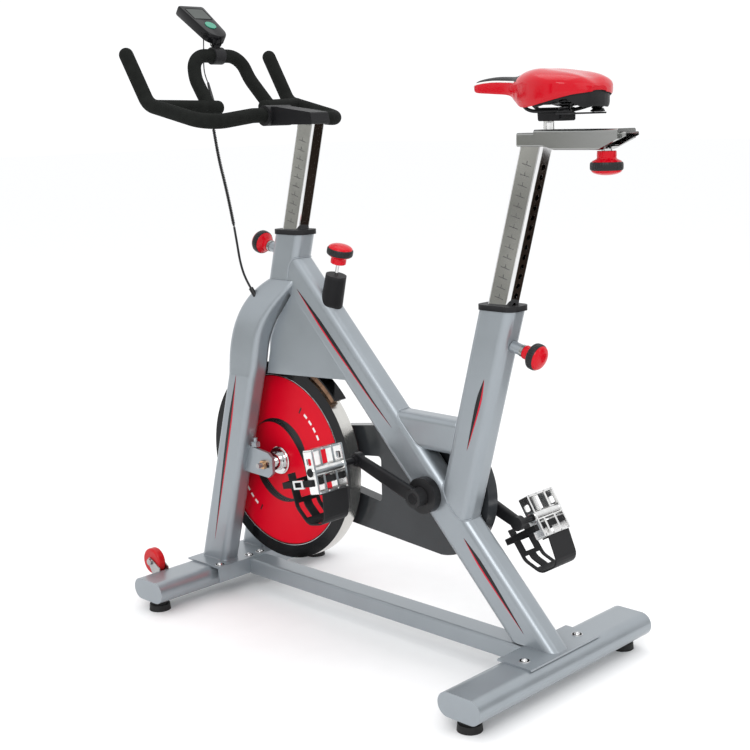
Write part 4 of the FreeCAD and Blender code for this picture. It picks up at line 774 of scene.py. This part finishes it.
def console_looks():
    """Rounded case round the hinge, with ears and pins, the screen and the button's collar."""
    pivot = Vector(JOINTS["console_tilt"]["pos_m"])
    press = Vector(JOINTS["console_press"]["axis"])
    up = Vector((press.z * -1, 0, press.x))          # along the case, away from the hinge
    face_out = -press

    def place(u, v, w):
        return pivot + up * (u * MM) + ACROSS * (v * MM) + face_out * (w * MM)

    outline = [(20 - 30 * math.sin(math.radians(a)), -30 * math.cos(math.radians(a)))
               for a in range(0, 181, 6)]
    outline += [(121, 37.2), (124.5, 35.7), (126, 32), (126, -32), (124.5, -35.7), (121, -37.2)]
    levels = [(1.2, 0.93), (1.8, 0.97), (4.0, 1.0), (20.5, 1.0), (23.4, 0.985), (24.6, 0.96),
              (CASE_FACE, 0.93)]
    points = []
    for w, share in levels:
        points += [place(CASE_MIDDLE + (u - CASE_MIDDLE) * share, v * share, w) for u, v in outline]
    faces = grid_faces(len(levels), len(outline)) + end_faces(len(levels), len(outline))
    shell = piece("console_shell", points, faces, "console", GLOSS, sharp=40.0)
    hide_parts("console_case")
    for side, label in SIDES:
        lathe("console_ear_" + label, [(9.4, 6.6), (9.8, 7), (12.0, 7), (12.4, 6.4)], pivot,
              ACROSS * side, "console", GLOSS, sides=40)
        lathe("console_pin_" + label, [(12.0, 3.6), (13.2, 3.6), (13.8, 2.6)], pivot, ACROSS * side,
              "console", STEEL, sides=32)
    lens = [place(u, v, CASE_FACE + 0.05) for u, v in ((68, -25), (110, -25), (110, 25), (68, 25))]
    plate("console_lcd", lens, 0.25 * MM, face_out, "console", LCD)
    rim = [place(u, v, CASE_FACE) for u, v in rounded(66, 112, -27, 27, 4)]
    tube("console_bezel", rim, 0.9 * MM, "console", GLOSS, sides=8, closed=True)
    collar = [place(BUTTON_U + 15.2 * math.cos(a), 15.2 * math.sin(a), CASE_FACE - 0.1)
              for a in (2 * math.pi * k / 60 for k in range(60))]
    tube("button_collar", collar, 0.7 * MM, "console", GLOSS, sides=8, closed=True)


def rounded(u0, u1, v0, v1, radius, steps=5):
    """Corner points of a rounded rectangle."""
    made = []
    for u, v, turn in ((u1 - radius, v1 - radius, 0), (u0 + radius, v1 - radius, 90),
                       (u0 + radius, v0 + radius, 180), (u1 - radius, v0 + radius, 270)):
        for step in range(steps + 1):
            angle = math.radians(turn + 90 * step / steps)
            made.append((u + radius * math.cos(angle), v + radius * math.sin(angle)))
    return made


PEDAL_TILT = {1: 103.0, -1: 122.0}      # how far each pedal's toe points down at rest
STUD_FACE = 12.6            # from the middle of a pedal to its faces


def pedal_frame(side):
    """Name, middle, toe direction and up direction of a pedal."""
    name = "pedal_left" if side > 0 else "pedal_right"
    middle = Vector(JOINTS[name + "_spin"]["pos_m"])
    tilt = math.radians(PEDAL_TILT[side])
    toe = Vector((math.cos(tilt), 0, -math.sin(tilt)))
    up = Vector((math.sin(tilt), 0, math.cos(tilt)))
    return name, middle, toe, up


def pedal_studs():
    """Grip studs on both faces of each pedal, and a cap on the end of its axle."""
    for side in (1, -1):
        name, middle, toe, up = pedal_frame(side)
        for number, (u, v) in enumerate([(s * 45.5, w) for s in (-1, 1) for w in (-39, -13, 13, 39)]):
            for face, where in ((1, "up"), (-1, "low")):
                base = middle + toe * (u * MM) + ACROSS * (v * MM) + up * (face * STUD_FACE * MM)
                lathe("%s_stud_%d_%s" % (name, number, where), [(0, 1.9), (1.8, 1.9), (2.4, 1.5)], base,
                      up * face, name, CHROME, sides=16)
        cap = middle + ACROSS * (side * 48.0 * MM)
        lathe(name + "_dust_cap", [(-1.5, 9.4), (0.6, 9.4), (1.6, 8.4), (2.0, 3.0)], cap,
              ACROSS * side, name, PLASTIC, sides=40)


def strap_looks():
    """Chrome buckles, web straps and a loose strap end on each pedal."""
    for side, label in SIDES:
        name, middle, toe, up = pedal_frame(side)
        origin = middle / MM - Vector((BRACKET_X, 0, 0))

        def on_buckle(center, normal, origin=origin, toe=toe, side=side):
            return (center.y - origin.y) * side > 51.25 and 5 < (center - origin).dot(toe) < 35

        def on_strap(center, normal, origin=origin, toe=toe, side=side):
            return 15 < (center - origin).dot(toe) < 30 and abs(center.y - origin.y) > 49.1 and not \
                on_buckle(center, normal, origin, toe, side)
        repaint("toe_clip_" + label, CHROME, on_buckle)
        repaint("toe_clip_" + label, STRAP, on_strap)
        end = [middle + toe * (u * MM) + ACROSS * (side * 54.5 * MM) + up * (v * MM)
               for u, v in ((16, 44), (29, 44), (29, 64), (26, 69), (19, 69), (16, 64))]
        plate("strap_end_" + label, end, 1.6 * MM, ACROSS * side, name, STRAP)


def crank_caps():
    for side, label in SIDES:
        face = CRANK + ACROSS * (77.0 * MM if side > 0 else -94.0 * MM)
        lathe("crank_cap_" + label, [(-0.8, 12.5), (0.8, 12.5), (2.2, 11), (2.6, 6)], face,
              ACROSS * side, "crank", PLASTIC, sides=48)


LEATHER_OUTER = 257.6       # the brake's leather is inside this radius round the hub
LEATHER_HALF = 15.1


def brake_looks():
    """Smoked metal shoe with a leather pad."""
    def in_leather(center, normal):
        return hub_reach(center) < LEATHER_OUTER and abs(center.y) < LEATHER_HALF

    data = frame["nodes"]["brake_pad"].data
    data.materials.clear()
    data.materials.append(DARK_CHROME)
    repaint("brake_pad", LEATHER, in_leather)


PLATE_TOP = 82.9            # height of the washers on the base plates
GUARD_SCREWS = [(-96, 345), (20, 470), (20, 220), (200, 440), (200, 244), (430, 376)]


def bolt_details():
    """Washers under the plate bolts and small screws along the chain guard."""
    for x, y in ((-304, 89), (-304, -89), (612, 112), (612, -112), (612, 18), (612, -18)):
        lathe("bolt_washer_%d_%d" % (x + 400, y + 200), [(0, 11.5), (1.2, 11.5), (1.6, 10.8)],
              at(x, y, PLATE_TOP), UP, "frame", CHROME, sides=32)
    guard_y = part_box("chain_guard_outer")[0].y / MM
    for number, (x, z) in enumerate(GUARD_SCREWS):
        lathe("guard_screw_%d" % number, [(-0.5, 4.2), (0.7, 4.2), (1.3, 3.0), (1.3, 1.2), (0.5, 1.0)],
              at(x, guard_y, z), -ACROSS, "frame", STEEL, sides=24)


WELD_STEPS = 120
WELD_BREAK = 0.03           # a longer jump, in metres, from one hit to the next ends a bead
WELD_SINK = -0.3 * MM       # the middle of a bead, from the face it is on
WELD_ROUGH = 0.25 * MM


def weld(name, start, direction, depth, width, target, radius=2.0):
    """Weld bead where a tube of rounded section meets another piece: rays along the tube find it."""
    tree = BVHTree.FromPolygons([v.co for v in frame["nodes"][target].data.vertices],
                                [tuple(f.vertices) for f in frame["nodes"][target].data.polygons])
    side = ACROSS.cross(direction).normalized()
    rng = random.Random(name)
    run = []
    runs = []
    for step in range(WELD_STEPS + 1):
        angle = 2 * math.pi * step / WELD_STEPS
        c, s = math.cos(angle), math.sin(angle)
        u = math.copysign(abs(c) ** 0.45, c) * depth / 2
        v = math.copysign(abs(s) ** 0.45, s) * width / 2
        origin = start + side * (u * MM) + ACROSS * (v * MM)
        hit = tree.ray_cast(origin, direction)[0]
        if hit is None or (run and (hit - run[-1]).length > WELD_BREAK):
            if len(run) > 3:
                runs.append(run)
            run = []
        if hit is not None:
            run.append(hit + direction * WELD_SINK)
    if len(run) > 3:
        runs.append(run)
    for number, path in enumerate(runs):
        bead = [p + Vector((rng.uniform(-1, 1), rng.uniform(-1, 1), rng.uniform(-1, 1))) * WELD_ROUGH
                for p in along_path(path, 5 * MM)]
        tube("weld_%s_%d" % (name, number), bead, radius * MM, "frame", PAINT, sides=8)


def welds():
    weld("seat", on_lean(SEAT_AXIS, 560), -LEAN_UP, 86, 58, "main_tube")
    weld("brace_front", at(0, 0, 488), Vector((1, 0, 0)), 76, 50, "main_tube")
    weld("brace_rear", at(0, 0, 488), Vector((-1, 0, 0)), 76, 50, "seat_tube")
    slope = math.radians(46.4)
    along = Vector((math.cos(slope), 0, math.sin(slope)))
    weld("head", at(-12.6, 0, 357) + along * 0.45, along, 86, 58, "head_tube")
    for side, label in SIDES:
        weld("leg_" + label, at(667, side * 65, 200), -UP, 88, 48, "base_plates", 2.4)


# ---- studio ------------------------------------------------------
CAMERA_AT = (-1.9520, 2.0381, 1.1549)
CAMERA_YAW = math.radians(-45.802)
CAMERA_DOWN = math.radians(11.233)
CAMERA_ROLL = math.radians(-1.527)
CAMERA_LENS = 63.12
FLOOR_REACH = 40.0          # half the floor's side, in metres
WORLD_STRENGTH = 1.07


def studio_camera():
    data = bpy.data.cameras.new("camera")
    data.lens = CAMERA_LENS
    data.sensor_width = 36.0
    camera = bpy.data.objects.new("camera", data)
    bpy.context.scene.collection.objects.link(camera)
    look = Vector((math.cos(CAMERA_YAW) * math.cos(CAMERA_DOWN),
                   math.sin(CAMERA_YAW) * math.cos(CAMERA_DOWN), -math.sin(CAMERA_DOWN)))
    right = Vector((math.sin(CAMERA_YAW), -math.cos(CAMERA_YAW), 0))
    up = right.cross(look)
    c, s = math.cos(CAMERA_ROLL), math.sin(CAMERA_ROLL)
    right, up = right * c + up * s, up * c - right * s
    turn = Matrix((right, up, -look)).transposed().to_4x4()
    camera.matrix_world = Matrix.Translation(CAMERA_AT) @ turn
    bpy.context.scene.camera = camera


def area_light(name, place, target, size, power):
    data = bpy.data.lights.new(name, "AREA")
    data.shape = "RECTANGLE"
    data.size, data.size_y = size
    data.energy = power
    light = bpy.data.objects.new(name, data)
    bpy.context.scene.collection.objects.link(light)
    light.location = place
    light.rotation_euler = (Vector(target) - Vector(place)).to_track_quat("-Z", "Y").to_euler()


def board(name, corners, look):
    """A studio board that only shows in reflections, so that metal keeps its contrast."""
    mesh = bpy.data.meshes.new(name)
    mesh.from_pydata(corners, [], [(0, 1, 2, 3)])
    mesh.materials.append(look)
    made = bpy.data.objects.new(name, mesh)
    bpy.context.scene.collection.objects.link(made)
    made.visible_camera = False
    made.visible_diffuse = False
    made.visible_shadow = False


def upright(name, x0, y0, x1, y1, z0, z1, look):
    """A board that stands on a line from one point of the plan to another."""
    board(name, [(x0, y0, z0), (x1, y1, z0), (x1, y1, z1), (x0, y0, z1)], look)


def studio():
    """White floor, bright world, three soft lights and the boards that the metal reflects."""
    studio_camera()
    mesh = bpy.data.meshes.new("studio_floor")
    reach = FLOOR_REACH
    mesh.from_pydata([(-reach, -reach, 0), (reach, -reach, 0), (reach, reach, 0), (-reach, reach, 0)],
                     [], [(0, 1, 2, 3)])
    mesh.materials.append(material("studio_floor", (0.94, 0.94, 0.94), 0.9, mottle=0.01, grain=0.0,
                                   gleam=0.0))
    ground = bpy.data.objects.new("studio_floor", mesh)
    bpy.context.scene.collection.objects.link(ground)
    world = bpy.data.worlds.new("studio")
    bpy.context.scene.world = world
    world.use_nodes = True
    background = world.node_tree.nodes["Background"]
    background.inputs["Color"].default_value = (0.985, 0.99, 1.0, 1)
    background.inputs["Strength"].default_value = WORLD_STRENGTH
    area_light("key", (-2.2, 3.2, 3.4), (0, 0, 0.6), (2.2, 1.8), 62)
    area_light("fill", (-3.4, -1.4, 2.2), (0, 0, 0.7), (2.4, 2.4), 12)
    area_light("top", (0.3, -0.6, 4.2), (0, 0, 0.6), (3.0, 3.0), 30)
    board("board_low", [(-2.3, -2.6, 0.03), (-0.75, -2.6, 0.03), (-0.75, -0.9, 0.03),
                        (-2.3, -0.9, 0.03)], BOARD_DARK)
    upright("board_front", 1.1, 2.3, 3.4, 2.3, 0.02, 1.3, BOARD_GREY)
    upright("board_rear", -3.0, -1.6, -2.2, -2.4, 0.1, 2.2, BOARD_DARK)
    upright("board_side", 0.1, 3.6, 0.75, 3.6, 0.1, 2.0, BOARD_DARK)
    bpy.context.scene.view_settings.view_transform = "Standard"


# ---- the whole bike ----------------------------------------------
POST_BARE_Z = 1086.2        # above this the seat post is bare alloy
SLIDER_BARE_Z = 1118.2      # and below this the slider is

paint_frame()
cords()
SADDLE = saddle_cover()
saddle_piping(SADDLE)
saddle_base(SADDLE)
saddle_bumper(SADDLE)
saddle_springs()
knobs()
stripes()
post_marks("head_post", HEAD_AXIS, 920, 1116, "handlebar")
post_marks("seat_post", SEAT_AXIS, 792, 1072, "seat_post")
flywheel_graphics()
flywheel_looks()
hub_flanges()
console_looks()
pedal_studs()
strap_looks()
crank_caps()
brake_looks()
repaint("handlebar_bracket", PLASTIC, lambda center, normal: True)
bolt_details()
welds()
repaint("seat_post", SATIN_ALLOY, lambda center, normal: center.z > POST_BARE_Z)
repaint("seat_slider", SATIN_ALLOY, lambda center, normal: center.z < SLIDER_BARE_Z)
studio()
